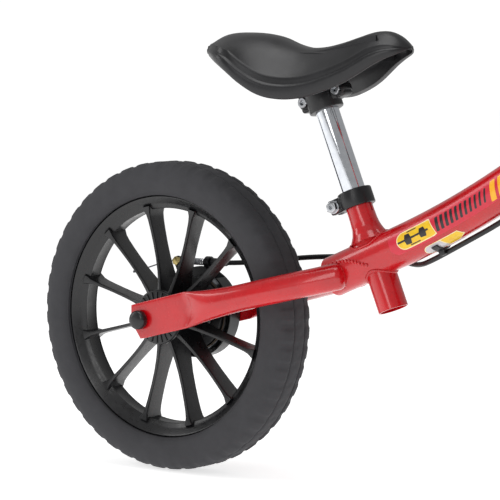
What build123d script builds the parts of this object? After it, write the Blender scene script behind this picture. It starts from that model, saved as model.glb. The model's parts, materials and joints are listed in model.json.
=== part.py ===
"""A 12-inch balance bike: steel frame, solid foam tyres on bladed wheels, rear band brake, moulded saddle.

Millimetres. +X forward, +Y to the rider's left, +Z up. The origin is on the ground, midway between the wheels.
"""
from math import cos, pi, radians, sin, tan
import os

from build123d import *

# ---- driving dimensions ----
wheelbase = 550.0
wheel_radius = 152.0
tyre_half_width = 26.0
lip_radius = 117.6          # where the tyre meets the rim lip
lip_half = 17.5
barrel_radius = 106.0       # inner face of the rim
blade_count = 12
blade_thick = 3.6
blade_first = 13.8          # angle of the first blade above the forward direction
hub_radius = 20.0
hub_half = 28.0
flange_radius = 27.0
axle_radius = 4.0
bearing_radius = 11.0
bearing_width = 7.0
running = 0.04              # radial clearance where one piece turns or slides on another
face_gap = 0.3              # end clearance beside a turning piece

rear_plate_in = 48.5        # inner face of each rear dropout plate
plate_thick = 5.0
front_plate_in = 44.0
front_plate_thick = 4.0
washer_thick = 1.5
washer_radius = 8.0
nut_flats = 13.0
nut_height = 5.0
cap_radius = 9.0
cap_height = 7.6            # from the washer's outer face to the top of the dome
cap_wall = 1.2

main_tube_radius = 19.05
main_tube_wall = 1.8
main_bend_radius = 860.0
stay_radius = 12.7
stay_wall = 1.6
stay_bend = 110.0
stay_flare = 16.0           # how far a stay takes to go from its plate to round
plate_height = 34.5
seat_post_radius = 11.1
seat_tube_radius = 12.7
stub_radius = 14.3
stub_wall = 1.5
seat_lean = 22.3            # seat tube, back from vertical
seat_tube_flare = 6.5       # how much wider the seat tube is at its weld
seat_tube_top = 66.0        # along the seat tube from the main tube's centreline
stub_bottom = -51.2
post_bottom = 3.0
post_top = 172.0
collar_height = 16.0
collar_thick = 3.6

head_angle = 68.0           # steering axis above the ground
fork_offset = 30.0          # axle ahead of the steering axis
head_radius = 17.0
head_wall = 2.0
head_bottom = 185.0         # distances along the steering axis, from beside the front axle
head_top = 262.0
cup_radius = 19.6
steerer_radius = 12.7
crown_bottom = 156.0
crown_top = 178.0
crown_radius = 17.0
leg_radius = 11.0
leg_side = 41.0
leg_wall = 2.0
leg_bend = 24.0
steerer_top = 280.0
race_height = 6.5
quill_bottom = 214.0
wedge_length = 18.0
stem_bolt_radius = 4.0
stem_top = 328.0
stem_body_bottom = 304.0
bar_radius = 11.1
bar_wall = 1.8
bar_reach = 28.0            # handlebar clamp ahead of the steering axis
bar_height = 315.0          # handlebar clamp along the steering axis
clamp_half = 18.0
clamp_radius = 16.0
bar_rise = 80.0
bar_lean = 14.5             # the risers, back from vertical
bar_half = 194.0
riser_foot = 37.0           # where the risers start and end, out from the middle
riser_head = 79.0
bar_bend = 26.0
grip_start = 106.0
grip_end = 197.0
grip_radius = 14.8
grip_flange = 17.6

drum_radius = 36.0
drum_wall = 3.0
drum_end = 43.0
band_start = 32.0
band_width = 8.8
lining_thick = 1.6
band_thick = 1.0
band_gap = 0.6
cover_radius = 45.0
cover_wall = 1.5
cover_plate = 2.5
cover_window = (66.0, 14.5, 22.0)   # the opening in the cover's rim that the cable line passes
drum_bore = 12.0
drum_plate = 2.5
spacer_radius = 6.5
stud_radius = 2.5           # what the brake arm turns on
brake_side = 45.0           # how far left the brake's cable line runs
cable_radius = 2.5
wire_radius = 0.8

# ---- places, from the dimensions above ----
rear_axle = Vector(-wheelbase / 2, 0, wheel_radius)
front_axle = Vector(wheelbase / 2, 0, wheel_radius)
steer_up = Vector(-cos(radians(head_angle)), 0, sin(radians(head_angle)))
steer_ahead = Vector(sin(radians(head_angle)), 0, cos(radians(head_angle)))
seat_up = Vector(-sin(radians(seat_lean)), 0, cos(radians(seat_lean)))
across = Vector(0, 1, 0)


def from_rear(x, y, z):
    """A point given from the rear axle."""
    return rear_axle + Vector(x, y, z)


def on_steer(along, ahead=0.0, side=0.0):
    """A point given along the steering axis."""
    return front_axle + steer_up * along + steer_ahead * (ahead - fork_offset) + across * side


main_rear = from_rear(189.5, 0, 48.2)
main_corner = from_rear(335.5, 0, 111.0)
seat_foot = from_rear(236.6, 0, 68.4)
main_front = on_steer(210.0)


def on_seat(along, ahead=0.0, side=0.0):
    """A point given along the seat tube, from where it crosses the main tube."""
    forward = Vector(cos(radians(seat_lean)), 0, sin(radians(seat_lean)))
    return seat_foot + seat_up * along + forward * ahead + across * side


bar_centre = on_steer(bar_height, bar_reach)
bar_up = Vector(-sin(radians(bar_lean)), 0, cos(radians(bar_lean)))
grip_line = bar_centre + bar_up * bar_rise


# ---- helpers ----
def rod(start, end, radius, bore=0.0):
    """A round bar or tube between two points."""
    line = end - start
    shape = Cylinder(radius, line.length, align=(Align.CENTER, Align.CENTER, Align.MIN))
    if bore:
        shape -= Cylinder(bore, line.length, align=(Align.CENTER, Align.CENTER, Align.MIN))
    return Plane(origin=start, z_dir=line) * shape


def hex_rod(start, end, flats, bore=0.0):
    """A hexagonal bar between two points."""
    line = end - start
    shape = extrude(RegularPolygon(flats / 2, 6, major_radius=False), line.length)
    if bore:
        shape -= Cylinder(bore, line.length, align=(Align.CENTER, Align.CENTER, Align.MIN))
    return Plane(origin=start, z_dir=line) * shape


def turned(centre, outline):
    """A ring about the line through centre along Y; outline points are (radius, y)."""
    face = make_face(Polyline(*outline, close=True))
    return Pos(*centre) * revolve(face, Axis.Y, 360)


def along_path(path, radius, bore=0.0):
    """A round tube that follows a path."""
    start = Plane(origin=path @ 0, z_dir=path % 0)
    shape = sweep(start * Circle(radius), path=path)
    if bore:
        shape -= sweep(start * Circle(bore), path=path)
    return shape


def both_sides(make):
    """The same piece on the right and on the left."""
    return Compound(children=[make(-1), make(1)])


def corner_radii(points):
    """Each corner of a cable turns in the largest arc that its two runs allow."""
    radii = []
    for before, here, after in zip(points, points[1:], points[2:]):
        turn = radians((here - before).get_angle(after - here))
        shorter = min((here - before).length, (after - here).length)
        radii.append(0.45 * shorter / tan(turn / 2))
    return radii


def cable(points):
    """A cable along straight runs joined by arcs."""
    return along_path(FilletPolyline(*points, radius=corner_radii(points)), cable_radius)


def reported(name, points):
    """A cable's solid; its bend radii and its volume over its section times its length are printed."""
    shape = cable(points)
    length = FilletPolyline(*points, radius=corner_radii(points)).length
    print(name, "radii", [round(r) for r in corner_radii(points)])
    print(name, "volume ratio", round(shape.volume / (pi * cable_radius**2 * length), 4))
    return shape


# ---- frame tubes ----
def main_path():
    return FilletPolyline(main_rear, main_corner, main_front, radius=main_bend_radius)


def main_solid():
    return along_path(main_path(), main_tube_radius)


def head_solid():
    return rod(on_steer(head_bottom), on_steer(head_top), head_radius)


def main_tube():
    end_plate = rod(main_rear, main_rear + (main_path() % 0) * main_tube_wall, main_tube_radius)
    tube = along_path(main_path(), main_tube_radius, main_tube_radius - main_tube_wall) + end_plate
    tube -= head_solid()
    tube -= rod(on_seat(0), on_seat(40), seat_tube_radius)
    tube -= rod(on_seat(-40), on_seat(0), stub_radius)
    return tube


def head_tube():
    return rod(on_steer(head_bottom), on_steer(head_top), head_radius, head_radius - head_wall)


def seat_tube():
    bore = seat_post_radius + running
    flare_low = main_tube_radius - 2
    flare_high = flare_low + 19
    outline = [
        (bore, 0), (seat_tube_radius, 0), (seat_tube_radius, flare_low),
        (seat_tube_radius + seat_tube_flare, flare_low),
        (seat_tube_radius + seat_tube_flare * 0.4, flare_low + 7),
        (seat_tube_radius + seat_tube_flare * 0.12, flare_low + 13),
        (seat_tube_radius, flare_high), (seat_tube_radius, seat_tube_top), (bore, seat_tube_top),
    ]
    face = Plane.XZ * make_face(Polyline(*outline, close=True))
    tube = Plane(origin=on_seat(0), z_dir=seat_up, x_dir=across) * revolve(face, Axis.Z, 360)
    slot_foot = seat_tube_top - 24
    slot = Plane(origin=on_seat(slot_foot), z_dir=seat_up, x_dir=across) * Box(
        2.4, 2 * seat_tube_radius, seat_tube_top, align=(Align.CENTER, Align.MAX, Align.MIN)
    )
    return tube - slot - main_solid()


def seat_tube_stub():
    tube = rod(on_seat(stub_bottom), on_seat(0), stub_radius, stub_radius - stub_wall)
    return tube - rod(on_seat(-0.01), on_seat(40), seat_tube_radius)


plate_corners = [(-11.4, 13.8), (-11.5, -3.7), (-0.5, -19), (54, -5.1), (54, 30.4)]     # from the rear axle


def stay_points(side):
    return [
        from_rear(62, side * 50.6, 14.3),
        from_rear(139, side * 43.6, 33.6),
        from_rear(208, side * 17.0, 50.9),
    ]


def stay(side):
    points = stay_points(side)
    path = FilletPolyline(*points, radius=stay_bend)
    tube = along_path(path, stay_radius)
    start = path @ 0
    back = (path % 0) * -stay_flare
    middle = rear_plate_in + plate_thick / 2
    flat_at = Vector(start.X + back.X, side * middle, start.Z + back.Z)
    flat = Plane(origin=flat_at, z_dir=path % 0, x_dir=across) * RectangleRounded(plate_thick, plate_height - 1, 2.4)
    neck = loft([flat.face(), (Plane(origin=start, z_dir=path % 0, x_dir=across) * Circle(stay_radius)).face()])
    low = rear_plate_in
    outline = Polyline(*plate_corners, close=True)
    edge = Plane(origin=from_rear(0, side * low, 0), x_dir=(1, 0, 0), z_dir=(0, -1, 0))
    plate = edge * extrude(make_face(outline), plate_thick * -side)
    solid = plate + neck + tube
    hollow = along_path(path, stay_radius - stay_wall)
    axle = rod(from_rear(0, side * 40, 0), from_rear(0, side * 60, 0), axle_radius)
    return solid - hollow - main_solid() - axle


# ---- wheels ----
def wheel(centre, first_angle):
    bed = lip_radius + 2.4
    rim_half = [(barrel_radius, 0), (barrel_radius, 7.6), (barrel_radius + 1.2, 9), (lip_radius, lip_half),
                (bed, lip_half), (bed, lip_half - 2.5), (bed - 7, 9), (bed - 7, 0)]
    rim_outline = rim_half + [(r, -y) for r, y in reversed(rim_half[1:-1])]
    rim = turned((0, 0, 0), rim_outline)
    pocket = hub_half - bearing_width
    hub_half_outline = [(8, 0), (8, pocket), (bearing_radius, pocket), (bearing_radius, hub_half),
                        (flange_radius, hub_half), (flange_radius, hub_half - 4), (hub_radius, hub_half - 6),
                        (hub_radius, 0)]
    hub = turned((0, 0, 0), hub_half_outline + [(r, -y) for r, y in reversed(hub_half_outline[1:-1])])
    inner, outer = hub_radius - 1.5, barrel_radius + 5.5
    wide, waist, tip = hub_half - 9.5, 10.0, 12.0
    top = ThreePointArc((inner, wide), (62, waist), (outer, tip))
    bottom = ThreePointArc((inner, -wide), (62, -waist), (outer, -tip))
    ends = [Line((inner, -wide), (inner, wide)), Line((outer, -tip), (outer, tip))]
    blade = extrude(make_face([top, bottom, *ends]), blade_thick / 2, both=True)
    shape = rim + hub
    for turn in range(blade_count):
        shape += Rot(0, -(first_angle + turn * 360 / blade_count), 0) * blade
    return Pos(*centre) * shape


def tyre(centre):
    bed = lip_radius + 2.4
    half = [(bed - 7, 0), (bed - 7, 9), (bed, lip_half - 2.5), (bed, lip_half), (lip_radius + 3.4, lip_half + 3.4),
            (lip_radius + 8, tyre_half_width - 1.4), (lip_radius + 15, tyre_half_width),
            (wheel_radius - 14, tyre_half_width - 0.6), (wheel_radius - 7, tyre_half_width - 3),
            (wheel_radius - 2.8, tyre_half_width - 7), (wheel_radius - 0.8, tyre_half_width - 13), (wheel_radius, 0)]
    return turned(centre, half + [(r, -y) for r, y in reversed(half[1:-1])])


def bearings(centre):
    def one(side):
        start = centre + across * side * (hub_half - bearing_width)
        return rod(start, centre + across * side * hub_half, bearing_radius, axle_radius + running)

    return both_sides(one)


def axle(centre, plate_out):
    reach = plate_out + washer_thick + nut_height + 0.5
    return rod(centre - across * reach, centre + across * reach, axle_radius)


def nuts(centre, plate_out):
    """Flanged nuts."""
    def one(side):
        plate = centre + across * side * plate_out
        start = plate + across * side * washer_thick
        flange = rod(plate, start, washer_radius, axle_radius)
        return flange + hex_rod(start, start + across * side * nut_height, nut_flats, axle_radius)

    return both_sides(one)


def caps(centre, plate_out):
    start = plate_out + washer_thick
    inner = nut_flats / 2 / cos(radians(30)) + 0.05
    outline = [(inner, start), (cap_radius, start), (cap_radius, start + cap_height * 0.55),
               (cap_radius * 0.84, start + cap_height * 0.82), (cap_radius * 0.5, start + cap_height * 0.96),
               (0, start + cap_height), (0, start + cap_height - cap_wall),
               (inner, start + cap_height - cap_wall - 0.9)]
    left = turned(centre, outline)
    return Compound(children=[left, turned(centre, [(r, -y) for r, y in outline])])


def spacers(centre, ends):
    """Tubes on the axle between each bearing and what clamps it; ends are (right, left)."""
    right, left = ends
    inner = hub_half + face_gap
    pieces = [rod(centre - across * inner, centre - across * right, spacer_radius, axle_radius),
              rod(centre + across * inner, centre + across * left, spacer_radius, axle_radius)]
    return Compound(children=pieces)


# ---- rear band brake ----
def brake_drum():
    outline = [(drum_bore, hub_half), (drum_radius, hub_half), (drum_radius, drum_end),
               (drum_radius - drum_wall, drum_end), (drum_radius - drum_wall, hub_half + drum_plate),
               (drum_bore, hub_half + drum_plate)]
    return turned(rear_axle, outline)


def open_ring(inner, outer, start, end, gap_from, gap_to):
    """A ring about the rear axle with a gap between two angles above the forward direction."""
    ring = turned(rear_axle, [(inner, start), (outer, start), (outer, end), (inner, end)])
    edge = outer * 2
    angles = [radians(angle) for angle in (gap_from, (gap_from + gap_to) / 2, gap_to)]
    fan = [(0, 0)] + [(edge * cos(angle), edge * sin(angle)) for angle in angles]
    face = make_face(Polyline(*fan, close=True))
    plane = Plane(origin=rear_axle + across * (end + 1), x_dir=(1, 0, 0), z_dir=(0, -1, 0))
    return ring - plane * extrude(face, end - start + 2)


lining_inner = drum_radius + band_gap
band_inner = lining_inner + lining_thick
cover_in = rear_plate_in - cover_plate
arm_pivot = from_rear(-22, 0, 36)
arm_inner = 41.2            # inner face of the brake arm
arm_thick = 2.2
anchor_x = -28.0
anchor_radius = 4.2
adjuster_line = 49.2        # height of the brake's cable line above the rear axle


def brake_cover():
    outer = [(axle_radius, cover_in), (axle_radius, rear_plate_in), (cover_radius - 2, rear_plate_in),
             (cover_radius, rear_plate_in - 2), (cover_radius, band_start - 1),
             (cover_radius - cover_wall, band_start - 1),
             (cover_radius - cover_wall, cover_in)]
    shape = turned(rear_axle, outer)
    window = Box(*cover_window, align=(Align.CENTER, Align.CENTER, Align.MIN))
    shape -= Pos(*from_rear(-8, (band_start - 1 + cover_in) / 2 - 0.3, 32)) * window
    lug = Pos(*from_rear(8.5, brake_side, adjuster_line - 3.2)) * Box(6, 3.4, 13)
    lug += Pos(*from_rear(8.5, brake_side, adjuster_line)) * Rot(0, 90, 0) * Cylinder(6, 6)
    lug += Pos(*from_rear(8.5, rear_plate_in - cover_plate / 2, 42)) * Box(6, cover_plate, 12)
    shape += lug
    shape -= rod(from_rear(0, brake_side, adjuster_line), from_rear(20, brake_side, adjuster_line), 3.0)
    stud_start = arm_pivot + across * (band_start + 6)
    return shape + rod(stud_start, arm_pivot + across * cover_in, stud_radius)


def brake_lining():
    return open_ring(lining_inner, band_inner, band_start, band_start + band_width, 66, 128)


def brake_band():
    return open_ring(band_inner, band_inner + band_thick, band_start, band_start + band_width, 72, 122)


def brake_arm():
    foot = arm_pivot + across * arm_inner
    head = from_rear(anchor_x, arm_inner, adjuster_line)
    link = head - foot
    middle = Plane(origin=foot + link * 0.5, x_dir=link, z_dir=(0, 1, 0))
    plate = middle * extrude(SlotCenterToCenter(link.length, 10), arm_thick)
    return plate - rod(foot - across * 5, foot + across * 5, stud_radius + running)


def cable_anchor_bolt():
    """The bolt's head behind the arm and the cap in front of it that grips the wire."""
    plate = from_rear(anchor_x, arm_inner, adjuster_line)
    head = hex_rod(plate - across * 3.6, plate, 8)
    front = plate + across * arm_thick
    return Compound(children=[head, rod(front, front + across * 3.8, anchor_radius)])


def barrel_adjuster():
    start = from_rear(2.5, brake_side, adjuster_line)
    body = rod(start, from_rear(12, brake_side, adjuster_line), 3.0, 1.1)
    knob = rod(from_rear(12, brake_side, adjuster_line), from_rear(18, brake_side, adjuster_line), 4.6, 1.1)
    collar = rod(from_rear(18, brake_side, adjuster_line), from_rear(22, brake_side, adjuster_line), 3.6, 1.1)
    return body + knob + collar


def brake_spring():
    return rod(from_rear(-15.5, brake_side, adjuster_line), from_rear(2.3, brake_side, adjuster_line), 3.6, 2.5)


def brake_wire():
    start = from_rear(anchor_x + anchor_radius, brake_side, adjuster_line)
    return rod(start, from_rear(2.5, brake_side, adjuster_line), wire_radius)


def cable_tail():
    start = from_rear(anchor_x - anchor_radius - 0.2, brake_side, adjuster_line)
    middle = from_rear(-74, brake_side, adjuster_line - 11)
    end = from_rear(-88, brake_side, adjuster_line - 14.7)
    return rod(start, middle, wire_radius) + rod(middle, end, 1.5)


# ---- cable housing ----
cable_on_frame = [
    (22, brake_side, adjuster_line), (58, 46, 51), (98, 46, 56.5), (134, 38.5, 61), (168, 28.5, 64),
    (200, 26.5, 66), (229, 25.6, 65.8), (254, 23.4, 63.2), (274, 14.5, 61.8), (294, 3, 67.4), (330, 0.5, 85.5),
    (372, 0, 107.5), (403, 1, 129.5), (413.5, 6.5, 136.5),
]
cable_to_fork = [(413.5, 6.5, 136.5), (424, 12, 143.5), (438, 25, 160), (453, 34, 186), (470, 38, 216),
                 (482, 34, 246), (483.5, 27.5, 260)]
cable_to_lever = [(483.5, 27.5, 260), (485, 21, 274), (479.5, 0.5, 302), (463, -21, 329)]


def lever_place(out, along, up=0.0):
    """A point given from the right grip's line: out in front of it, along it outboard, and up."""
    return grip_line + lever_out * out - across * along + lever_top * up


lever_drop = 30.0           # the lever hangs this far below level
lever_out = Vector(cos(radians(lever_drop)), 0, -sin(radians(lever_drop)))
lever_top = Vector(sin(radians(lever_drop)), 0, cos(radians(lever_drop)))
lever_plane = Plane(origin=grip_line, x_dir=lever_out, z_dir=-lever_top)
lever_pivot = (24.0, 104.0)
lever_wire = 31.0


def brake_cable():
    return reported("brake_cable", [from_rear(*p) for p in cable_on_frame])


def brake_cable_lower():
    return reported("brake_cable_lower", [from_rear(*p) for p in cable_to_fork])


def brake_cable_upper():
    points = [from_rear(*p) for p in cable_to_lever] + [lever_place(lever_wire, 36), lever_place(lever_wire, 70)]
    return reported("brake_cable_upper", points)


clip_shares = (0.42, 0.845)      # where the clips sit, as shares of the main tube's length
clip_width = 7.0
clip_wall = 1.6


def cable_clip(along):
    """A saddle under the main tube with a block that the cable passes through."""
    path = main_path()
    centre = path @ along
    way = path % along
    below = Vector(way.Z, 0, -way.X)
    hug = Plane(origin=centre - way * (clip_width / 2), z_dir=way) * Cylinder(
        main_tube_radius + clip_wall, clip_width, align=(Align.CENTER, Align.CENTER, Align.MIN)
    )
    hug -= main_solid()
    under = Plane(origin=centre + below * (main_tube_radius + 10), z_dir=way, x_dir=across) * Box(20, 24, clip_width)
    block = Plane(origin=centre + below * (main_tube_radius + 2.4), z_dir=way, x_dir=across) * Box(9, 7.6, clip_width)
    return (hug & under) + (block - main_solid())


def cable_clips():
    housing = cable([from_rear(*p) for p in cable_on_frame])
    return Compound(children=[cable_clip(share) - housing for share in clip_shares])


# ---- seat ----
def seat_collar():
    start, end = on_seat(seat_tube_top - collar_height), on_seat(seat_tube_top)
    ring = rod(start, end, seat_tube_radius + collar_thick)
    place = Plane(origin=on_seat(seat_tube_top - collar_height / 2), z_dir=seat_up, x_dir=across)
    ears = place * Box(17, 27, collar_height - 2, align=(Align.CENTER, Align.MIN, Align.CENTER))
    slit = place * Box(2.4, 40, collar_height + 2, align=(Align.CENTER, Align.MIN, Align.CENTER))
    bolt = on_seat(seat_tube_top - collar_height / 2, -21.5)
    ring = ring + ears
    return ring - slit - rod(start, end, seat_tube_radius) - rod(bolt - across * 20, bolt + across * 20, 3.0)


def seat_collar_bolt():
    centre = on_seat(seat_tube_top - collar_height / 2, -21.5)
    shank = rod(centre - across * 8.5, centre + across * 16, 3.0)
    return shank + hex_rod(centre - across * 13.5, centre - across * 8.5, 10) + rod(
        centre - across * 9.3, centre - across * 8.5, 6.6
    )


def seat_collar_nut():
    centre = on_seat(seat_tube_top - collar_height / 2, -21.5)
    return hex_rod(centre + across * 8.5, centre + across * 13.5, 10, 3.0)


def seat_post():
    return rod(on_seat(post_bottom), on_seat(post_top), seat_post_radius, seat_post_radius - 1.6)


saddle_sections = [
    # x, half width, top, skirt edge
    (56.5, 12, 264, 257), (62, 25, 270, 256), (74, 42, 274.5, 253), (92, 58, 276, 247), (112, 64, 275, 237),
    (136, 60, 269, 220.5), (168, 52, 262, 214.5), (204, 41, 267, 222), (234, 30, 276, 238.5), (256, 21, 276, 251.5),
    (267, 14, 269.5, 256.5), (273, 6, 264, 260),
]
saddle_wall = 4.0
saddle_roof = 5.5
boss_low = 246.0            # underside of the saddle's clamping boss, above the rear axle


def saddle_slice(x, half, top, low, narrower=0.0, lower=0.0, deeper=0.0):
    half, top, low = half - narrower, top - lower, low - deeper
    rise = top - low
    side = [(-half, low), (-half * 0.97, low + rise * 0.42), (-half * 0.78, low + rise * 0.83),
            (-half * 0.4, low + rise * 0.97)]
    points = side + [(0, top)] + [(-y, z) for y, z in reversed(side)]
    curve = Spline(*points)
    face = make_face([curve, Line(points[-1], points[0])])
    return Plane(origin=from_rear(x, 0, 0), x_dir=(0, 1, 0), z_dir=(1, 0, 0)) * face


def saddle():
    outer = loft([saddle_slice(*s).face() for s in saddle_sections])
    hollow = [saddle_slice(*s, narrower=saddle_wall, lower=saddle_roof, deeper=6).face() for s in saddle_sections[2:-2]]
    inner = loft(hollow)
    shape = outer - inner
    boss = Pos(*from_rear(168, 0, boss_low)) * Box(54, 40, 30, align=(Align.CENTER, Align.CENTER, Align.MIN))
    return shape + (boss & outer)


def saddle_clamp():
    low, high = 146.0, post_top
    body = rod(on_seat(low), on_seat(high), seat_post_radius + 5.5)
    body += rod(on_seat(high), on_seat(high + 3), seat_post_radius + 5.5)
    roof = Pos(*from_rear(168, 0, boss_low)) * Box(54, 40, 9, align=(Align.CENTER, Align.CENTER, Align.MAX))
    first, second = clamp_screws
    middle = on_seat((first[0] + second[0]) / 2, (first[1] + second[1]) / 2)
    web = Plane(origin=middle, z_dir=seat_up, x_dir=across) * Box(2 * lug_half, second[1] - first[1] + 12, 16)
    above = Pos(*from_rear(168, 0, boss_low)) * Box(90, 90, 60, align=(Align.CENTER, Align.CENTER, Align.MIN))
    shape = body + roof + web - above
    for along, ahead in clamp_screws:
        at = on_seat(along, ahead)
        shape -= rod(at - across * 12, at + across * 12, 2.5)
        shape -= rod(at + across * lug_half, at + across * 20, 5.0)
        shape -= rod(at - across * lug_half, at - across * 20, 5.0)
    return shape - rod(on_seat(low - 1), on_seat(high), seat_post_radius)


clamp_screws = [(160.3, -16.3), (158.9, 22.5)]    # along the post, and ahead of it
lug_half = 8.0


def saddle_screws():
    pieces = []
    for along, ahead in clamp_screws:
        at = on_seat(along, ahead)
        head, nut = at - across * lug_half, at + across * lug_half
        pieces.append(rod(head, nut, 2.5) + rod(head - across * 3.5, head, 4.4) + hex_rod(nut, nut + across * 3.5, 8))
    return Compound(children=pieces)


# ---- fork and steering ----
def fork_crown():
    return rod(on_steer(crown_bottom), on_steer(crown_top), crown_radius)


def fork_leg(side):
    level = (crown_bottom + crown_top) / 2 - 0.6
    top = on_steer(level)
    shoulder = on_steer(level, 0, side * leg_side)
    axle_end = front_axle + across * side * leg_side
    down = (axle_end - shoulder).normalized()
    foot = axle_end - down * 15
    path = FilletPolyline(top, shoulder, foot, radius=leg_bend)
    inner_path = FilletPolyline(top, shoulder, foot - down * leg_wall, radius=leg_bend)
    leg = along_path(path, leg_radius) - along_path(inner_path, leg_radius - leg_wall)
    place = Plane(origin=front_axle + across * side * front_plate_in, x_dir=-down, z_dir=across * side)
    plate = place * extrude(Pos(9, 0) * SlotCenterToCenter(26, 19), front_plate_thick)
    plate -= place * extrude(Pos(-12, 0) * Rectangle(24, 2 * axle_radius), front_plate_thick)
    plate -= place * extrude(Circle(axle_radius), front_plate_thick)
    return leg + plate - fork_crown()


def fork_steerer():
    tube = rod(on_steer(crown_top), on_steer(steerer_top), steerer_radius, seat_post_radius + running)
    return tube + fork_crown()


def headset_race():
    return rod(on_steer(crown_top), on_steer(crown_top + 3), crown_radius + 1, steerer_radius)


def headset_cup(start, end, skirt_end):
    rim = rod(on_steer(start), on_steer(end), cup_radius, steerer_radius + 1)
    first, last = min(end, skirt_end), max(end, skirt_end)
    return rim + rod(on_steer(first), on_steer(last), head_radius - head_wall, steerer_radius + 1)


def headset_lower_cup():
    return headset_cup(crown_top + 3 + face_gap, head_bottom, head_bottom + 8)


def headset_upper_cup():
    rim = rod(on_steer(head_top), on_steer(head_top + 5.5), cup_radius, steerer_radius + 1)
    return rim + rod(on_steer(head_top - 8), on_steer(head_top), head_radius - head_wall, steerer_radius + 1)


nut_foot = head_top + 5.5 + face_gap


def headset_top_race():
    return rod(on_steer(nut_foot), on_steer(nut_foot + race_height), crown_radius + 1, steerer_radius)


def headset_locknut():
    start = nut_foot + race_height
    nut = hex_rod(on_steer(start), on_steer(steerer_top), 32, steerer_radius)
    return nut + hex_rod(on_steer(steerer_top), on_steer(steerer_top + 2), 32, seat_post_radius + running)


def stem():
    quill = rod(on_steer(quill_bottom), on_steer(stem_top), seat_post_radius)
    body = rod(on_steer(stem_body_bottom), on_steer(stem_top), seat_post_radius + 3.6)
    reach = rod(on_steer(bar_height), bar_centre, 12.0)
    barrel = rod(bar_centre - across * clamp_half, bar_centre + across * clamp_half, clamp_radius)
    shape = quill + body + reach + barrel
    shape -= rod(bar_centre - across * 40, bar_centre + across * 40, bar_radius)
    shape -= rod(on_steer(quill_bottom), on_steer(stem_top), stem_bolt_radius)
    return shape


def stem_wedge():
    wedge = rod(on_steer(quill_bottom - wedge_length), on_steer(quill_bottom), seat_post_radius)
    return wedge - rod(on_steer(quill_bottom - wedge_length), on_steer(quill_bottom), stem_bolt_radius)


def stem_bolt():
    head = rod(on_steer(stem_top), on_steer(stem_top + 6), 6.8)
    socket = hex_rod(on_steer(stem_top + 2.5), on_steer(stem_top + 6), 6)
    return head - socket + rod(on_steer(quill_bottom - wedge_length), on_steer(stem_top), stem_bolt_radius)


def stem_clamp_bolt():
    at = on_steer(bar_height, bar_reach + clamp_radius - 1.5)
    foot = at - steer_up * 15
    lugs = rod(foot, at + steer_up * 13, 5.5)
    lugs -= rod(bar_centre - across * 40, bar_centre + across * 40, clamp_radius)
    return lugs


def handlebar():
    points = [grip_line - across * bar_half, grip_line - across * riser_head, bar_centre - across * riser_foot,
              bar_centre + across * riser_foot, grip_line + across * riser_head, grip_line + across * bar_half]
    path = FilletPolyline(*points, radius=bar_bend)
    return along_path(path, bar_radius, bar_radius - bar_wall)


def grip(side):
    def at(y):
        return grip_line + across * side * y

    shape = rod(at(grip_start), at(grip_end), grip_radius) + rod(at(grip_start), at(grip_start + 3), grip_flange)
    shape += rod(at(grip_end - 10), at(grip_end), grip_radius + 2)
    return shape - rod(at(grip_start), at(bar_half), bar_radius)


def lever_bracket():
    ring = rod(lever_place(0, 95.5), lever_place(0, 104.5), bar_radius + 3.4)
    outline = Polyline((11, 95.5), (36, 92), (36, 98), (30, 100), (30, 110), (20, 110), (20, 105.2), (11, 104.5),
                       close=True)
    body = lever_plane * Pos(0, 0, -5) * extrude(make_face(outline), 10)
    slot = lever_plane * Pos(28, 108, 0) * Box(20, 20, 5.2)
    shape = ring + body - slot
    shape -= rod(lever_place(*lever_pivot, -9), lever_place(*lever_pivot, 9), 2.0)
    shape -= rod(lever_place(lever_wire, 60), lever_place(lever_wire, 120), 3.0)
    return shape - rod(lever_place(0, 60), lever_place(0, 120), bar_radius)


def lever_adjuster():
    body = rod(lever_place(lever_wire, 82), lever_place(lever_wire, 98), 3.0, 1.1)
    knob = rod(lever_place(lever_wire, 76), lever_place(lever_wire, 90), 4.4, 1.1)
    return body + knob + rod(lever_place(lever_wire, 70), lever_place(lever_wire, 76), 3.4, 1.1)


def lever_fasteners():
    """The pivot pin and the clamp's bolt."""
    pin = rod(lever_place(*lever_pivot, -5.8), lever_place(*lever_pivot, 5.8), 2.0)
    at = lever_place(-14.5, 100)
    bolt = rod(at - lever_top * 6.5, at + lever_top * 6.5, 3.2)
    bolt -= rod(lever_place(0, 60), lever_place(0, 120), bar_radius + 3.4)
    return Compound(children=[pin, bolt])


def brake_lever():
    root_outline = Polyline((20, 100.6), (29, 100.6), (33, 106), (45, 122), (39, 124), (27, 112), (20, 108),
                            close=True)
    root = lever_plane * Pos(0, 0, -2.4) * extrude(make_face(root_outline), 4.8)
    outline = [(37, 118), (41, 116), (50, 134), (53, 156), (50.5, 180), (45, 180), (47, 156), (44.5, 137)]
    blade = lever_plane * Pos(0, 0, -5) * extrude(make_face(Polyline(*outline, close=True)), 10)
    blade = fillet(blade.edges().filter_by(GeomType.LINE), 1.2)
    ball = Pos(*lever_place(48, 181)) * Sphere(5.6)
    return root + blade + ball - rod(lever_place(*lever_pivot, -9), lever_place(*lever_pivot, 9), 2.0 + running)


rear_out = rear_plate_in + plate_thick
front_out = front_plate_in + front_plate_thick

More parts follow.
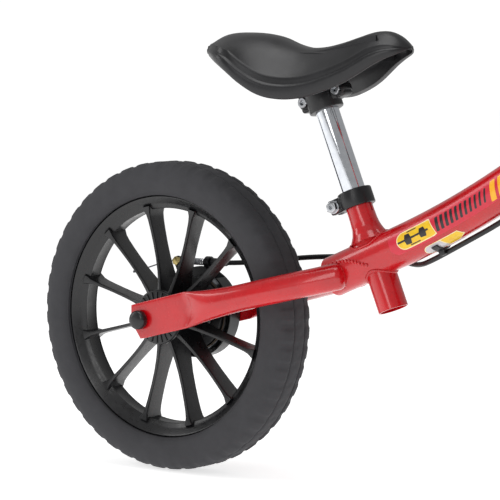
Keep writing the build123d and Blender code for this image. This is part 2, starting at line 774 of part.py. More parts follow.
pieces = {
    "main_tube": main_tube,
    "head_tube": head_tube,
    "seat_tube": seat_tube,
    "seat_tube_stub": seat_tube_stub,
    "right_stay": lambda: stay(-1),
    "left_stay": lambda: stay(1),
    "seat_collar": seat_collar,
    "seat_collar_bolt": seat_collar_bolt,
    "seat_collar_nut": seat_collar_nut,
    "headset_lower_cup": headset_lower_cup,
    "headset_upper_cup": headset_upper_cup,
    "rear_axle": lambda: axle(rear_axle, rear_out),
    "rear_axle_nuts": lambda: nuts(rear_axle, rear_out),
    "rear_axle_caps": lambda: caps(rear_axle, rear_out),
    "rear_spacers": lambda: spacers(rear_axle, (rear_plate_in, cover_in)),
    "brake_cover": brake_cover,
    "brake_band": brake_band,
    "brake_lining": brake_lining,
    "barrel_adjuster": barrel_adjuster,
    "brake_spring": brake_spring,
    "brake_wire": brake_wire,
    "brake_cable": brake_cable,
    "cable_clips": cable_clips,
    "rear_tyre": lambda: tyre(rear_axle),
    "rear_wheel": lambda: wheel(rear_axle, blade_first),
    "rear_bearings": lambda: bearings(rear_axle),
    "brake_drum": brake_drum,
    "brake_arm": brake_arm,
    "cable_anchor_bolt": cable_anchor_bolt,
    "cable_tail": cable_tail,
    "seat_post": seat_post,
    "saddle": saddle,
    "saddle_clamp": saddle_clamp,
    "saddle_screws": saddle_screws,
    "right_fork_leg": lambda: fork_leg(-1),
    "left_fork_leg": lambda: fork_leg(1),
    "fork_steerer": fork_steerer,
    "headset_race": headset_race,
    "headset_top_race": headset_top_race,
    "headset_locknut": headset_locknut,
    "front_axle": lambda: axle(front_axle, front_out),
    "front_axle_nuts": lambda: nuts(front_axle, front_out),
    "front_axle_caps": lambda: caps(front_axle, front_out),
    "front_spacers": lambda: spacers(front_axle, (front_plate_in, front_plate_in)),
    "brake_cable_lower": brake_cable_lower,
    "brake_cable_upper": brake_cable_upper,
    "front_tyre": lambda: tyre(front_axle),
    "front_wheel": lambda: wheel(front_axle, 0),
    "front_bearings": lambda: bearings(front_axle),
    "stem": stem,
    "stem_wedge": stem_wedge,
    "stem_bolt": stem_bolt,
    "stem_clamp_bolt": stem_clamp_bolt,
    "handlebar": handlebar,
    "right_grip": lambda: grip(-1),
    "left_grip": lambda: grip(1),
    "lever_bracket": lever_bracket,
    "lever_adjuster": lever_adjuster,
    "lever_fasteners": lever_fasteners,
    "brake_lever": brake_lever,
}

os.makedirs("parts", exist_ok=True)
for node, make in pieces.items():
    export_step(make(), f"parts/{node}.step")
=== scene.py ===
import json
import math

import bmesh
import bpy
from mathutils import Matrix, Vector
from mathutils.bvhtree import BVHTree


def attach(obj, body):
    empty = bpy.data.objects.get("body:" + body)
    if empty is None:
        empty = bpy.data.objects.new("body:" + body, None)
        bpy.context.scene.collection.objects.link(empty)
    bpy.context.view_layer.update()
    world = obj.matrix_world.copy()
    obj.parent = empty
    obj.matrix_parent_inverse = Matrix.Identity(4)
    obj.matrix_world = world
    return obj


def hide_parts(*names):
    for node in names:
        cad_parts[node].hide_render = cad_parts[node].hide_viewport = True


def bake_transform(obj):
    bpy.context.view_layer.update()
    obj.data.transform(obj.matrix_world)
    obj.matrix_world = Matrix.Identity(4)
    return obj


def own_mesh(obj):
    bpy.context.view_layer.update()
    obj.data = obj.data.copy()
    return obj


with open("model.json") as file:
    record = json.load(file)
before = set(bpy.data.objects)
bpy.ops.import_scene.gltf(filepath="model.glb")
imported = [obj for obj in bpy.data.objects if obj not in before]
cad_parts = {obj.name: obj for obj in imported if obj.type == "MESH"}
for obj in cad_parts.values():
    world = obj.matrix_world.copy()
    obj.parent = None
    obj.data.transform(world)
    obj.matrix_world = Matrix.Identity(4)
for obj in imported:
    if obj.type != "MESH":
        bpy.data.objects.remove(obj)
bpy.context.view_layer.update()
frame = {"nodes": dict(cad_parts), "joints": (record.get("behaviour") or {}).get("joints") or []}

mm = 0.001
nodes = frame["nodes"]
joints = {joint["name"]: joint for joint in frame["joints"]}

# where the bike's main lines are, from its joints
rearAxle = Vector(joints["rear_wheel_spin"]["pos_m"])
frontAxle = Vector(joints["front_wheel_spin"]["pos_m"])
seatUp = Vector(joints["seat_height"]["axis"]).normalized()
steerUp = Vector(joints["steering"]["axis"]).normalized()
steerFoot = Vector(joints["steering"]["pos_m"]) - steerUp * 222 * mm    # beside the front axle
left = Vector((0, 1, 0))
seatAhead = left.cross(seatUp)
steerAhead = left.cross(steerUp)


def fromRear(x, y, z):
    return rearAxle + Vector((x, y, z)) * mm


seatFoot = fromRear(236.6, 0, 68.4)    # where the seat tube crosses the main tube


def onSeat(along, ahead=0.0, side=0.0):
    return seatFoot + (seatUp * along + seatAhead * ahead + left * side) * mm


def onSteer(along, ahead=0.0, side=0.0):
    return steerFoot + (steerUp * along + steerAhead * ahead + left * side) * mm


camera = bpy.data.objects.new("camera", bpy.data.cameras.new("camera"))
bpy.context.collection.objects.link(camera)
viewing = {"lens": 183.08, "azimuth": 36.18, "height": 4.68, "away": Vector((1.52768, -1.96321, 0.26751))}
camera.data.lens = viewing["lens"]
camera.data.sensor_width = 36
camera.data.clip_end = 50
azimuth, height = math.radians(viewing["azimuth"]), math.radians(viewing["height"])
toCamera = Vector((math.sin(azimuth) * math.cos(height), -math.cos(azimuth) * math.cos(height), math.sin(height)))
camera.rotation_euler = toCamera.to_track_quat("Z", "Y").to_euler()
camera.location = rearAxle + viewing["away"]
bpy.context.scene.camera = camera


def areaLight(name, place, target, size, watts, colour=(1, 1, 1)):
    lamp = bpy.data.lights.new(name, "AREA")
    lamp.shape = "RECTANGLE"
    lamp.size, lamp.size_y = size
    lamp.energy = watts
    lamp.color = colour
    lampObject = bpy.data.objects.new(name, lamp)
    bpy.context.collection.objects.link(lampObject)
    lampObject.location = place
    lampObject.rotation_euler = (Vector(place) - Vector(target)).to_track_quat("Z", "Y").to_euler()
    return lampObject


def softStudio():
    bpy.context.scene.view_settings.view_transform = "Standard"    # colours show as the hex values say
    world = bpy.data.worlds.new("paleRoom")
    bpy.context.scene.world = world
    world.use_nodes = True
    # the room shows white behind the bike, but lights it and is mirrored in it more softly
    tree = world.node_tree
    seen = tree.nodes.new("ShaderNodeLightPath")
    strength = tree.nodes.new("ShaderNodeMapRange")
    strength.inputs["To Min"].default_value = 0.4
    strength.inputs["To Max"].default_value = 1.05
    tree.links.new(seen.outputs["Is Camera Ray"], strength.inputs["Value"])
    tree.links.new(strength.outputs["Result"], tree.nodes["Background"].inputs["Strength"])
    tree.nodes["Background"].inputs["Color"].default_value = (1, 1, 1, 1)
    middle = (-0.1, 0, 0.25)
    areaLight("overhead", (-0.2, -0.2, 2.2), middle, (1.6, 1.0), 13)
    areaLight("frontSoft", (0.4, -2.4, 1.3), middle, (0.7, 1.6), 11)
    areaLight("rearSoft", (-2.0, -0.9, 1.0), middle, (0.5, 1.4), 7)
    floor = bpy.data.meshes.new("floor")
    shape = bmesh.new()
    bmesh.ops.create_grid(shape, x_segments=1, y_segments=1, size=12)
    shape.to_mesh(floor)
    shape.free()
    floorObject = bpy.data.objects.new("floor", floor)
    bpy.context.collection.objects.link(floorObject)
    floorObject.location.z = -0.0005
    paper = bpy.data.materials.new("whitePaper")
    paper.use_nodes = True
    paper.node_tree.nodes["Principled BSDF"].inputs["Base Color"].default_value = (0.9, 0.9, 0.9, 1)
    paper.node_tree.nodes["Principled BSDF"].inputs["Roughness"].default_value = 0.9
    paper.node_tree.nodes["Principled BSDF"].inputs["Emission Color"].default_value = (1, 1, 1, 1)
    paper.node_tree.nodes["Principled BSDF"].inputs["Emission Strength"].default_value = 0.66
    floor.materials.append(paper)


softStudio()
print("camera and light placed")


def linear(hexColour):
    values = []
    for start in (1, 3, 5):
        part = int(hexColour[start:start + 2], 16) / 255
        values.append(part / 12.92 if part <= 0.04045 else ((part + 0.055) / 1.055) ** 2.4)
    return (*values, 1)


def addNode(tree, kind, settings=None, inputs=None):
    node = tree.nodes.new(kind)
    for name, value in (settings or {}).items():
        setattr(node, name, value)
    for name, value in (inputs or {}).items():
        if isinstance(value, bpy.types.NodeSocket):
            tree.links.new(value, node.inputs[name])
        else:
            node.inputs[name].default_value = value
    return node


def shaderFor(name, hexColour, **sockets):
    material = bpy.data.materials.new(name)
    material.use_nodes = True
    tree = material.node_tree
    shader = tree.nodes["Principled BSDF"]
    shader.inputs["Base Color"].default_value = linear(hexColour)
    for socket, value in sockets.items():
        shader.inputs[socket.replace("_", " ")].default_value = value
    place = addNode(tree, "ShaderNodeTexCoord")
    return material, tree, shader, place.outputs["Object"]


def noise(tree, place, sizeMm, detail=3, roughness=0.5, distortion=0.0):
    # a feature of the noise is about as wide as sizeMm
    return addNode(tree, "ShaderNodeTexNoise", None, {
        "Vector": place, "Scale": 1 / (sizeMm * mm), "Detail": detail, "Roughness": roughness,
        "Distortion": distortion}).outputs["Fac"]


def spread(tree, value, low, high, toLow, toHigh):
    return addNode(tree, "ShaderNodeMapRange", None, {
        "Value": value, "From Min": low, "From Max": high, "To Min": toLow, "To Max": toHigh}).outputs["Result"]


def shades(tree, value, dark, light):
    ramp = addNode(tree, "ShaderNodeValToRGB", None, {"Fac": value})
    ramp.color_ramp.elements[0].position, ramp.color_ramp.elements[1].position = 0.3, 0.7
    ramp.color_ramp.elements[0].color, ramp.color_ramp.elements[1].color = linear(dark), linear(light)
    return ramp.outputs["Color"]


def relief(tree, shader, heights):
    # heights: (socket, depth in mm, strength), one over another
    normal = None
    for height, depth, strength in heights:
        inputs = {"Height": height, "Distance": depth * mm, "Strength": strength}
        if normal:
            inputs["Normal"] = normal
        normal = addNode(tree, "ShaderNodeBump", None, inputs).outputs["Normal"]
    tree.links.new(normal, shader.inputs["Normal"])


def makeRedPowderCoat():
    # gloss polyester powder coat, sprayed and baked: deep colour with a faint orange peel under its gloss
    coat = {"colour": "#C2000E", "dark": "#B8000D", "light": "#CC0211", "peelMm": 1.6, "patchMm": 30}
    material, tree, shader, place = shaderFor("redPowderCoat", coat["colour"], Roughness=0.24, IOR=1.5,
                                              Coat_Weight=0.6, Coat_Roughness=0.08)
    patches = noise(tree, place, coat["patchMm"])
    tree.links.new(shades(tree, patches, coat["dark"], coat["light"]), shader.inputs["Base Color"])
    tree.links.new(spread(tree, noise(tree, place, 9), 0.3, 0.7, 0.2, 0.3), shader.inputs["Roughness"])
    relief(tree, shader, [(noise(tree, place, coat["peelMm"], 1), 0.03, 0.5)])
    return material


def makeFoam():
    # closed-cell EVA foam, moulded: matte charcoal skin with pores and a cloudy tone
    foam = {"dark": "#333336", "light": "#3E3E41", "poreMm": 0.9, "cloudMm": 14}
    material, tree, shader, place = shaderFor("evaFoam", foam["dark"], Roughness=0.78, IOR=1.45)
    cloud = noise(tree, place, foam["cloudMm"], 5, 0.6)
    tree.links.new(shades(tree, cloud, foam["dark"], foam["light"]), shader.inputs["Base Color"])
    pores = addNode(tree, "ShaderNodeTexVoronoi", {"feature": "F1"}, {
        "Vector": place, "Scale": 1 / (foam["poreMm"] * mm), "Randomness": 1.0}).outputs["Distance"]
    tree.links.new(spread(tree, cloud, 0.3, 0.7, 0.7, 0.84), shader.inputs["Roughness"])
    relief(tree, shader, [(noise(tree, place, 3.5, 2), 0.12, 0.35), (pores, 0.06, 0.35)])
    return material


def makeNylon():
    # glass-filled nylon, injection moulded: near black, semi-gloss, with faint flow marks
    nylon = {"dark": "#0C0C0E", "light": "#131316", "flowMm": 6}
    material, tree, shader, place = shaderFor("mouldedNylon", nylon["dark"], Roughness=0.3, IOR=1.53)
    flow = noise(tree, place, nylon["flowMm"], 4, 0.6, 0.8)
    tree.links.new(shades(tree, flow, nylon["dark"], nylon["light"]), shader.inputs["Base Color"])
    tree.links.new(spread(tree, flow, 0.3, 0.7, 0.24, 0.38), shader.inputs["Roughness"])
    relief(tree, shader, [(noise(tree, place, 2.2, 2), 0.05, 0.3)])
    return material


def makeSaddlePlastic():
    # polypropylene, injection moulded with a fine spark-eroded grain: satin black
    plastic = {"dark": "#151517", "light": "#1D1D20", "grainMm": 0.6}
    material, tree, shader, place = shaderFor("satinPolypropylene", plastic["dark"], Roughness=0.36, IOR=1.49)
    cloud = noise(tree, place, 22, 3)
    tree.links.new(shades(tree, cloud, plastic["dark"], plastic["light"]), shader.inputs["Base Color"])
    tree.links.new(spread(tree, cloud, 0.3, 0.7, 0.32, 0.42), shader.inputs["Roughness"])
    relief(tree, shader, [(noise(tree, place, plastic["grainMm"], 2), 0.03, 0.35),
                          (noise(tree, place, 12, 1), 0.2, 0.12)])
    return material


def makeChrome():
    # bright chrome plate on polished steel tube: mirror, with faint buffing haze
    material, tree, shader, place = shaderFor("chromePlate", "#D3D6DB", Metallic=1.0, Roughness=0.09)
    haze = noise(tree, place, 5, 4, 0.65)
    tree.links.new(spread(tree, haze, 0.3, 0.75, 0.05, 0.16), shader.inputs["Roughness"])
    tree.links.new(shades(tree, haze, "#CDD0D6", "#DCDFE3"), shader.inputs["Base Color"])
    relief(tree, shader, [(noise(tree, place, 0.8, 1), 0.005, 0.3)])
    return material


def makeZinc(name, dark, light, roughness):
    # zinc plate, barrel plated: soft silver, or passivated yellow, with a mottled bloom
    material, tree, shader, place = shaderFor(name, light, Metallic=1.0, Roughness=roughness)
    bloom = noise(tree, place, 1.8, 4, 0.7)
    tree.links.new(shades(tree, bloom, dark, light), shader.inputs["Base Color"])
    tree.links.new(spread(tree, bloom, 0.25, 0.75, roughness - 0.08, roughness + 0.1), shader.inputs["Roughness"])
    relief(tree, shader, [(noise(tree, place, 0.5, 2), 0.02, 0.4)])
    return material


def makeBlackCoat(name, roughness, grainMm, depth):
    # black electrocoat on steel, or powder on a casting: satin, grainy where it was cast
    material, tree, shader, place = shaderFor(name, "#101012", Roughness=roughness, IOR=1.5)
    cloud = noise(tree, place, 8, 3)
    tree.links.new(shades(tree, cloud, "#0D0D0F", "#161619"), shader.inputs["Base Color"])
    tree.links.new(spread(tree, cloud, 0.3, 0.7, roughness - 0.06, roughness + 0.07), shader.inputs["Roughness"])
    relief(tree, shader, [(noise(tree, place, grainMm, 2), depth, 0.45)])
    return material


def makeRubber():
    # vulcanised rubber: matte black with a dusty bloom
    material, tree, shader, place = shaderFor("gripRubber", "#161617", Roughness=0.72, IOR=1.52)
    bloom = noise(tree, place, 6, 5, 0.65)
    tree.links.new(shades(tree, bloom, "#131314", "#1F1F21"), shader.inputs["Base Color"])
    relief(tree, shader, [(noise(tree, place, 0.5, 2), 0.03, 0.5)])
    return material


def makeSheath():
    # extruded PVC cable sheath: smooth black with a slight draw along it
    material, tree, shader, place = shaderFor("pvcSheath", "#111113", Roughness=0.38, IOR=1.5)
    drawn = noise(tree, place, 4, 2)
    tree.links.new(spread(tree, drawn, 0.3, 0.7, 0.32, 0.45), shader.inputs["Roughness"])
    tree.links.new(shades(tree, drawn, "#0E0E10", "#17171A"), shader.inputs["Base Color"])
    relief(tree, shader, [(noise(tree, place, 1.2, 1), 0.02, 0.3)])
    return material


def makeLining():
    # woven friction lining: dusty brown-grey with fibres
    material, tree, shader, place = shaderFor("frictionLining", "#4A4038", Roughness=0.85)
    fibres = noise(tree, place, 1.2, 5, 0.75, 1.5)
    tree.links.new(shades(tree, fibres, "#3A322C", "#6A5E50"), shader.inputs["Base Color"])
    relief(tree, shader, [(fibres, 0.1, 0.6)])
    return material


def makeVinyl(name, dark, light):
    # printed vinyl film under a clear laminate: flat colour, slightly clouded ink
    material, tree, shader, place = shaderFor(name, light, Roughness=0.32, IOR=1.5, Coat_Weight=0.3)
    ink = noise(tree, place, 5, 4, 0.6)
    tree.links.new(shades(tree, ink, dark, light), shader.inputs["Base Color"])
    relief(tree, shader, [(noise(tree, place, 1.5, 1), 0.01, 0.4)])
    return material


finishes = {
    "red": makeRedPowderCoat(),
    "foam": makeFoam(),
    "nylon": makeNylon(),
    "saddle": makeSaddlePlastic(),
    "chrome": makeChrome(),
    "zinc": makeZinc("brightZincPlate", "#A9ABAF", "#C9CBCE", 0.26),
    "yellowZinc": makeZinc("yellowPassivatedZinc", "#B49A55", "#D2C48C", 0.3),
    "steel": makeZinc("groundSteel", "#8F9196", "#B4B6BA", 0.34),
    "blackCoat": makeBlackCoat("blackElectrocoat", 0.34, 1.0, 0.02),
    "castBlack": makeBlackCoat("blackCastAlloy", 0.42, 0.6, 0.05),
    "rubber": makeRubber(),
    "sheath": makeSheath(),
    "lining": makeLining(),
    "yellowVinyl": makeVinyl("yellowPrintedVinyl", "#E8B400", "#F7CC10"),
    "orangeVinyl": makeVinyl("orangePrintedVinyl", "#F6A800", "#FFBB1A"),
    "paleVinyl": makeVinyl("palePrintedVinyl", "#F3DFA0", "#F8ECC0"),
    "silverVinyl": makeVinyl("silverPrintedVinyl", "#BDB9BC", "#D6D2D4"),
    "blackVinyl": makeVinyl("blackPrintedVinyl", "#120D10", "#1C1418"),
    "clearVinyl": makeVinyl("redPrintedVinyl", "#CC1430", "#D8203A"),
}
print("materials made")


# the CAD nodes that show as they are, by finish; other nodes are replaced further down
cadFinishes = {
    "red": ("main_tube", "head_tube", "seat_tube", "seat_tube_stub", "right_stay", "left_stay", "fork_steerer",
            "right_fork_leg", "left_fork_leg", "stem"),
    "foam": ("rear_tyre", "front_tyre"),
    "nylon": ("rear_wheel", "front_wheel", "rear_axle_caps", "front_axle_caps", "cable_clips"),
    "saddle": ("saddle",),
    "chrome": ("seat_post",),
    "zinc": ("seat_collar_bolt", "seat_collar_nut", "rear_axle_nuts", "front_axle_nuts", "saddle_screws",
             "stem_bolt", "stem_clamp_bolt", "lever_fasteners"),
    "yellowZinc": ("cable_anchor_bolt",),
    "steel": ("rear_axle", "front_axle", "rear_bearings", "front_bearings", "rear_spacers", "front_spacers",
              "brake_wire", "cable_tail", "brake_spring", "brake_band", "stem_wedge"),
    "blackCoat": ("seat_collar", "brake_cover", "brake_arm", "barrel_adjuster", "saddle_clamp", "handlebar",
                  "headset_lower_cup", "headset_upper_cup", "headset_race", "headset_top_race", "headset_locknut",
                  "lever_adjuster"),
    "castBlack": ("brake_drum", "lever_bracket", "brake_lever"),
    "rubber": ("right_grip", "left_grip"),
    "sheath": ("brake_cable", "brake_cable_lower", "brake_cable_upper"),
    "lining": ("brake_lining",),
}


def dressCadNodes():
    for finish, names in cadFinishes.items():
        for name in names:
            mesh = nodes[name].data
            mesh.materials.clear()
            mesh.materials.append(finishes[finish])


dressCadNodes()
print("CAD nodes dressed")


def finishPiece(name, shape, body, finish, replaces=(), sharpAngle=32):
    mesh = bpy.data.meshes.new(name)
    shape.to_mesh(mesh)
    shape.free()
    mesh.shade_smooth()
    mesh.set_sharp_from_angle(angle=math.radians(sharpAngle))
    piece = bpy.data.objects.new(name, mesh)
    bpy.context.collection.objects.link(piece)
    mesh.materials.append(finishes[finish])
    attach(piece, body)
    if replaces:
        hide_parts(*replaces)
    return piece


def ring(shape, count, placePoint):
    # a loop whose points are where placePoint says, from 0 to 1 around it
    made = bmesh.ops.create_circle(shape, segments=count, radius=1)["verts"]
    for index, vert in enumerate(made):
        vert.co = placePoint(index / count)
    return made


def edgesOf(verts):
    members = set(verts)
    return list({edge for vert in verts for edge in vert.link_edges if edge.other_vert(vert) in members})


def joinRings(shape, rings):
    for first, second in zip(rings, rings[1:]):
        bmesh.ops.bridge_loops(shape, edges=edgesOf(first) + edgesOf(second))


def outward(shape):
    bmesh.ops.remove_doubles(shape, verts=shape.verts, dist=0.00001)
    bmesh.ops.recalc_face_normals(shape, faces=shape.faces)


def turnedAround(shape, outline, centre, axis, steps, closed=True):
    # outline points are (radius, along) in mm; the loop of them is spun about the axis
    along = axis.normalized()
    out = along.orthogonal().normalized() if abs(along.y) < 0.9 else Vector((1, 0, 0))
    verts = [shape.verts.new(centre + (out * radius + along * far) * mm) for radius, far in outline]
    pairs = list(zip(verts, verts[1:])) + ([(verts[-1], verts[0])] if closed else [])
    edges = [shape.edges.new(pair) for pair in pairs]
    bmesh.ops.spin(shape, geom=verts + edges, cent=centre, axis=along, angle=math.tau, steps=steps, use_merge=True)
    return shape


def rounded(outline, corners):
    # corners: {index: radius} in mm; those corners of the outline become arcs of three chords
    points = []
    count = len(outline)
    for index, here in enumerate(outline):
        radius = corners.get(index)
        if not radius:
            points.append(here)
            continue
        here = Vector(here)
        before, after = Vector(outline[index - 1]) - here, Vector(outline[(index + 1) % count]) - here
        reach = min(radius, before.length * 0.45, after.length * 0.45)
        start, end = here + before.normalized() * reach, here + after.normalized() * reach
        for part in (0, 0.33, 0.67, 1):
            points.append(tuple(start.lerp(here, part).lerp(here.lerp(end, part), part)))
    return points


def curveThrough(table, where):
    # a smooth curve through (x, value) points
    spots = [point[0] for point in table]
    where = min(max(where, spots[0]), spots[-1])
    index = min(sum(1 for spot in spots[1:-1] if spot <= where), len(table) - 2)
    (x0, y0), (x1, y1) = table[index], table[index + 1]
    before, after = table[max(index - 1, 0)], table[min(index + 2, len(table) - 1)]
    slope0 = (y1 - before[1]) / (x1 - before[0])
    slope1 = (after[1] - y0) / (after[0] - x0)
    width = x1 - x0
    t = (where - x0) / width
    return ((2 * t**3 - 3 * t**2 + 1) * y0 + (t**3 - 2 * t**2 + t) * width * slope0
            + (3 * t**2 - 2 * t**3) * y1 + (t**3 - t**2) * width * slope1)


def bevelSharp(shape, width, angle=35, segments=2):
    edges = [edge for edge in shape.edges if edge.is_manifold and edge.calc_face_angle(0) > math.radians(angle)]
    bmesh.ops.bevel(shape, geom=edges, offset=width * mm, affect="EDGES", segments=segments, profile=0.5, material=-1,
                    offset_type="OFFSET", clamp_overlap=True)


def hexPrism(shape, centre, axis, flats, height, turn=0.0):
    radius = flats / 2 / math.cos(math.pi / 6) * mm
    made = bmesh.ops.create_cone(shape, cap_ends=True, segments=6, radius1=radius, radius2=radius, depth=height * mm)
    facing = axis.to_track_quat("Z", "Y").to_matrix().to_4x4()
    bmesh.ops.transform(shape, verts=made["verts"],
                        matrix=Matrix.Translation(centre) @ facing @ Matrix.Rotation(turn, 4, "Z"))
    return made["verts"]


def bar(shape, start, end, radius, steps=48, endRadius=None):
    line = end - start
    made = bmesh.ops.create_cone(shape, cap_ends=True, segments=steps, radius1=radius * mm,
                                 radius2=(radius if endRadius is None else endRadius) * mm, depth=line.length)
    facing = line.to_track_quat("Z", "Y").to_matrix().to_4x4()
    bmesh.ops.transform(shape, verts=made["verts"], matrix=Matrix.Translation((start + end) / 2) @ facing)
    return made["verts"]


tyre = {"radius": 152, "half": 26, "lip": 117.6, "lipHalf": 17.5, "lugs": 48, "stepsPerLug": 12, "lugHeight": 1.1}


def treadLift(turn, across):
    # how far the tread stands proud, in mm, from 0 to 1 of a lug's pitch
    share = turn % 1
    reach = abs(across)
    stagger = (share + (0.5 if across > 0 else 0)) % 1
    rise = min(max(min(share - 0.16, 0.86 - share) / 0.07, 0), 1)
    shoulder = min(max((reach - 9) / 1.5, 0), 1) * min(max((23.5 - reach) / 2, 0), 1)
    lug = tyre["lugHeight"] * rise * shoulder
    centre = 0.5 * min(max((7.5 - reach) / 1.2, 0), 1) * min(max(min(stagger - 0.1, 0.9 - stagger) / 0.08, 0), 1)
    groove = -0.7 if 7.8 < reach < 9.2 else 0
    return lug + centre + groove


def makeTyre(name, node, body, centre):
    bed = tyre["lip"] + 2.4
    lipHalf, half = tyre["lipHalf"], tyre["half"]
    side = [(bed - 7, 0), (bed - 7, 9), (bed, lipHalf - 2.5), (bed, lipHalf - 0.2), (bed - 1.2, lipHalf + 0.5),
            (bed - 0.6, lipHalf + 2.0)]
    wall = [(118.9, 20.6), (120.4, 22.6), (123, 24.4), (126.5, 25.5), (130.5, half), (134.5, half), (138, 25.5),
            (141, 24.5), (143.6, 23), (145.6, 21.4), (147.3, 19.4), (148.6, 17.2), (149.5, 15), (150, 12.8),
            (150.3, 10.6), (150.45, 9.3), (150.5, 8.9), (150.55, 7.9), (150.6, 7.4), (150.75, 5),
            (150.8, 2.5), (150.8, 0)]
    outline = side + wall
    outline = outline + [(r, -y) for r, y in reversed(outline[1:-1])]
    shape = bmesh.new()
    turnedAround(shape, outline, Vector((0, 0, 0)), left, tyre["lugs"] * tyre["stepsPerLug"])
    for vert in shape.verts:
        out = Vector((vert.co.x, 0, vert.co.z))
        high = out.length / mm
        if high > 138:
            lift = treadLift(math.atan2(vert.co.z, vert.co.x) / math.tau * tyre["lugs"] + 1000, vert.co.y / mm)
            lean = min(max((abs(vert.co.y) / mm - 14) / 10, 0), 1)
            push = out.normalized() * (1 - lean * 0.6) + left * math.copysign(lean * 0.8, vert.co.y)
            vert.co += push * lift * mm
    outward(shape)
    bmesh.ops.translate(shape, verts=shape.verts, vec=centre)
    return finishPiece(name, shape, body, "foam", (node,), 50)


makeTyre("rearTyre", "rear_tyre", "rear_wheel", rearAxle)
makeTyre("frontTyre", "front_tyre", "front_wheel", frontAxle)
print("tyres made")


wheel = {"barrel": 106, "lip": 117.6, "lipHalf": 17.5, "blades": 12, "first": 13.8, "hub": 20,
         "hubHalf": 28, "flange": 27, "steps": 192, "ribs": 24}


def makeWheel(name, node, body, centre, firstAngle):
    bed = wheel["lip"] + 2.3
    half = [(wheel["barrel"], 0), (wheel["barrel"], 6.2), (wheel["barrel"] - 0.4, 7.6), (107.2, 9.0), (108.6, 9.6),
            (111.2, 11.6), (wheel["lip"] - 1.6, 16.6), (wheel["lip"] - 0.2, wheel["lipHalf"]),
            (bed - 1.6, wheel["lipHalf"] - 0.2), (bed, wheel["lipHalf"] - 1.4), (bed - 7, 8.8), (bed - 7, 0)]
    rim = half + [(r, -y) for r, y in reversed(half[1:-1])]
    shape = bmesh.new()
    turnedAround(shape, rim, Vector((0, 0, 0)), left, wheel["steps"])
    hubHalf, flange, hub = wheel["hubHalf"], wheel["flange"], wheel["hub"]
    side = [(8, 0), (8, hubHalf - 7), (11, hubHalf - 7), (11, hubHalf - 0.8), (11.8, hubHalf), (flange - 3, hubHalf),
            (flange - 0.8, hubHalf - 0.6), (flange, hubHalf - 1.8), (flange, hubHalf - 4), (flange - 1.2, hubHalf - 5.4),
            (hub + 2.4, hubHalf - 6.6), (hub + 0.6, hubHalf - 9), (hub, hubHalf - 13), (hub - 1, 0)]
    turnedAround(shape, side + [(r, -y) for r, y in reversed(side[1:-1])], Vector((0, 0, 0)), left, wheel["steps"] // 2)
    outward(shape)

    blade = bmesh.new()
    stations = [(19, 18.6, 3.6), (22, 18.0, 2.9), (27, 16.4, 2.3), (34, 14.4, 1.95), (45, 12.0, 1.8), (58, 10.4, 1.75),
                (72, 10.0, 1.75), (86, 10.4, 1.8), (96, 11.0, 2.0), (102, 11.7, 2.6), (106.4, 12.6, 4.4),
                (109, 13.2, 5.2)]

    def bladeRing(far, wide, thick):
        def place(part):
            turn = part * math.tau + math.pi / 8
            flat = [math.copysign(abs(value) ** 0.25, value) for value in (math.cos(turn), math.sin(turn))]
            return Vector((far, wide * flat[0], thick * flat[1])) * mm

        return ring(blade, 16, place)

    rings = [bladeRing(*station) for station in stations]
    joinRings(blade, rings)
    for last in (rings[0], rings[-1]):
        blade.faces.new(last)
    outward(blade)
    mesh = bpy.data.meshes.new("blade")
    blade.to_mesh(mesh)
    blade.free()
    for count in range(wheel["blades"]):
        mark = len(shape.verts)
        shape.from_mesh(mesh)
        shape.verts.ensure_lookup_table()
        angle = -math.radians(firstAngle + count * 360 / wheel["blades"])
        bmesh.ops.rotate(shape, verts=shape.verts[mark:], cent=(0, 0, 0), matrix=Matrix.Rotation(angle, 3, "Y"))
    for count in range(wheel["ribs"]):
        for way in (-1, 1):
            angle = math.tau * count / wheel["ribs"]
            made = bmesh.ops.create_cube(shape, size=1)["verts"]
            bmesh.ops.scale(shape, verts=made, vec=(9 * mm, 1.6 * mm, 1.2 * mm))
            bmesh.ops.translate(shape, verts=made, vec=(20.5 * mm, way * (hubHalf + 0.2) * mm, 0))
            bmesh.ops.rotate(shape, verts=made, cent=(0, 0, 0), matrix=Matrix.Rotation(angle, 3, "Y"))
    bpy.data.meshes.remove(mesh)
    bmesh.ops.translate(shape, verts=shape.verts, vec=centre)
    return finishPiece(name, shape, body, "nylon", (node,), 40)


makeWheel("rearWheel", "rear_wheel", "rear_wheel", rearAxle, wheel["first"])
makeWheel("frontWheel", "front_wheel", "front_wheel", frontAxle, 0)
print("wheels made")


def atStations(shape, stations, count):
    # rings of a squared ellipse at (centre, side, up, half width, half height, power, bulge) in mm, lofted
    rings = []
    for centre, side, up, wide, high, square, bulge in stations:
        ahead = side.cross(up)

        def place(part, centre=centre, side=side, up=up, ahead=ahead, wide=wide, high=high, square=square, bulge=bulge):
            turn = math.tau * part
            y = math.copysign(abs(math.cos(turn)) ** (2 / square), math.cos(turn))
            z = math.copysign(abs(math.sin(turn)) ** (2 / square), math.sin(turn))
            return centre + (side * wide * y + up * high * z + ahead * bulge * (1 - z * z)) * mm

        rings.append(ring(shape, count, place))
    joinRings(shape, rings)
    for last in (rings[0], rings[-1]):
        shape.faces.new(last)


stay = {"steps": 72, "radius": 12.7, "plateHalf": 2.5, "plateSide": 51, "tubeSide": (50.6, 43.6, 17.0),
        "tubeX": (62, 139, 208), "tubeZ": (14.3, 33.6, 50.9)}


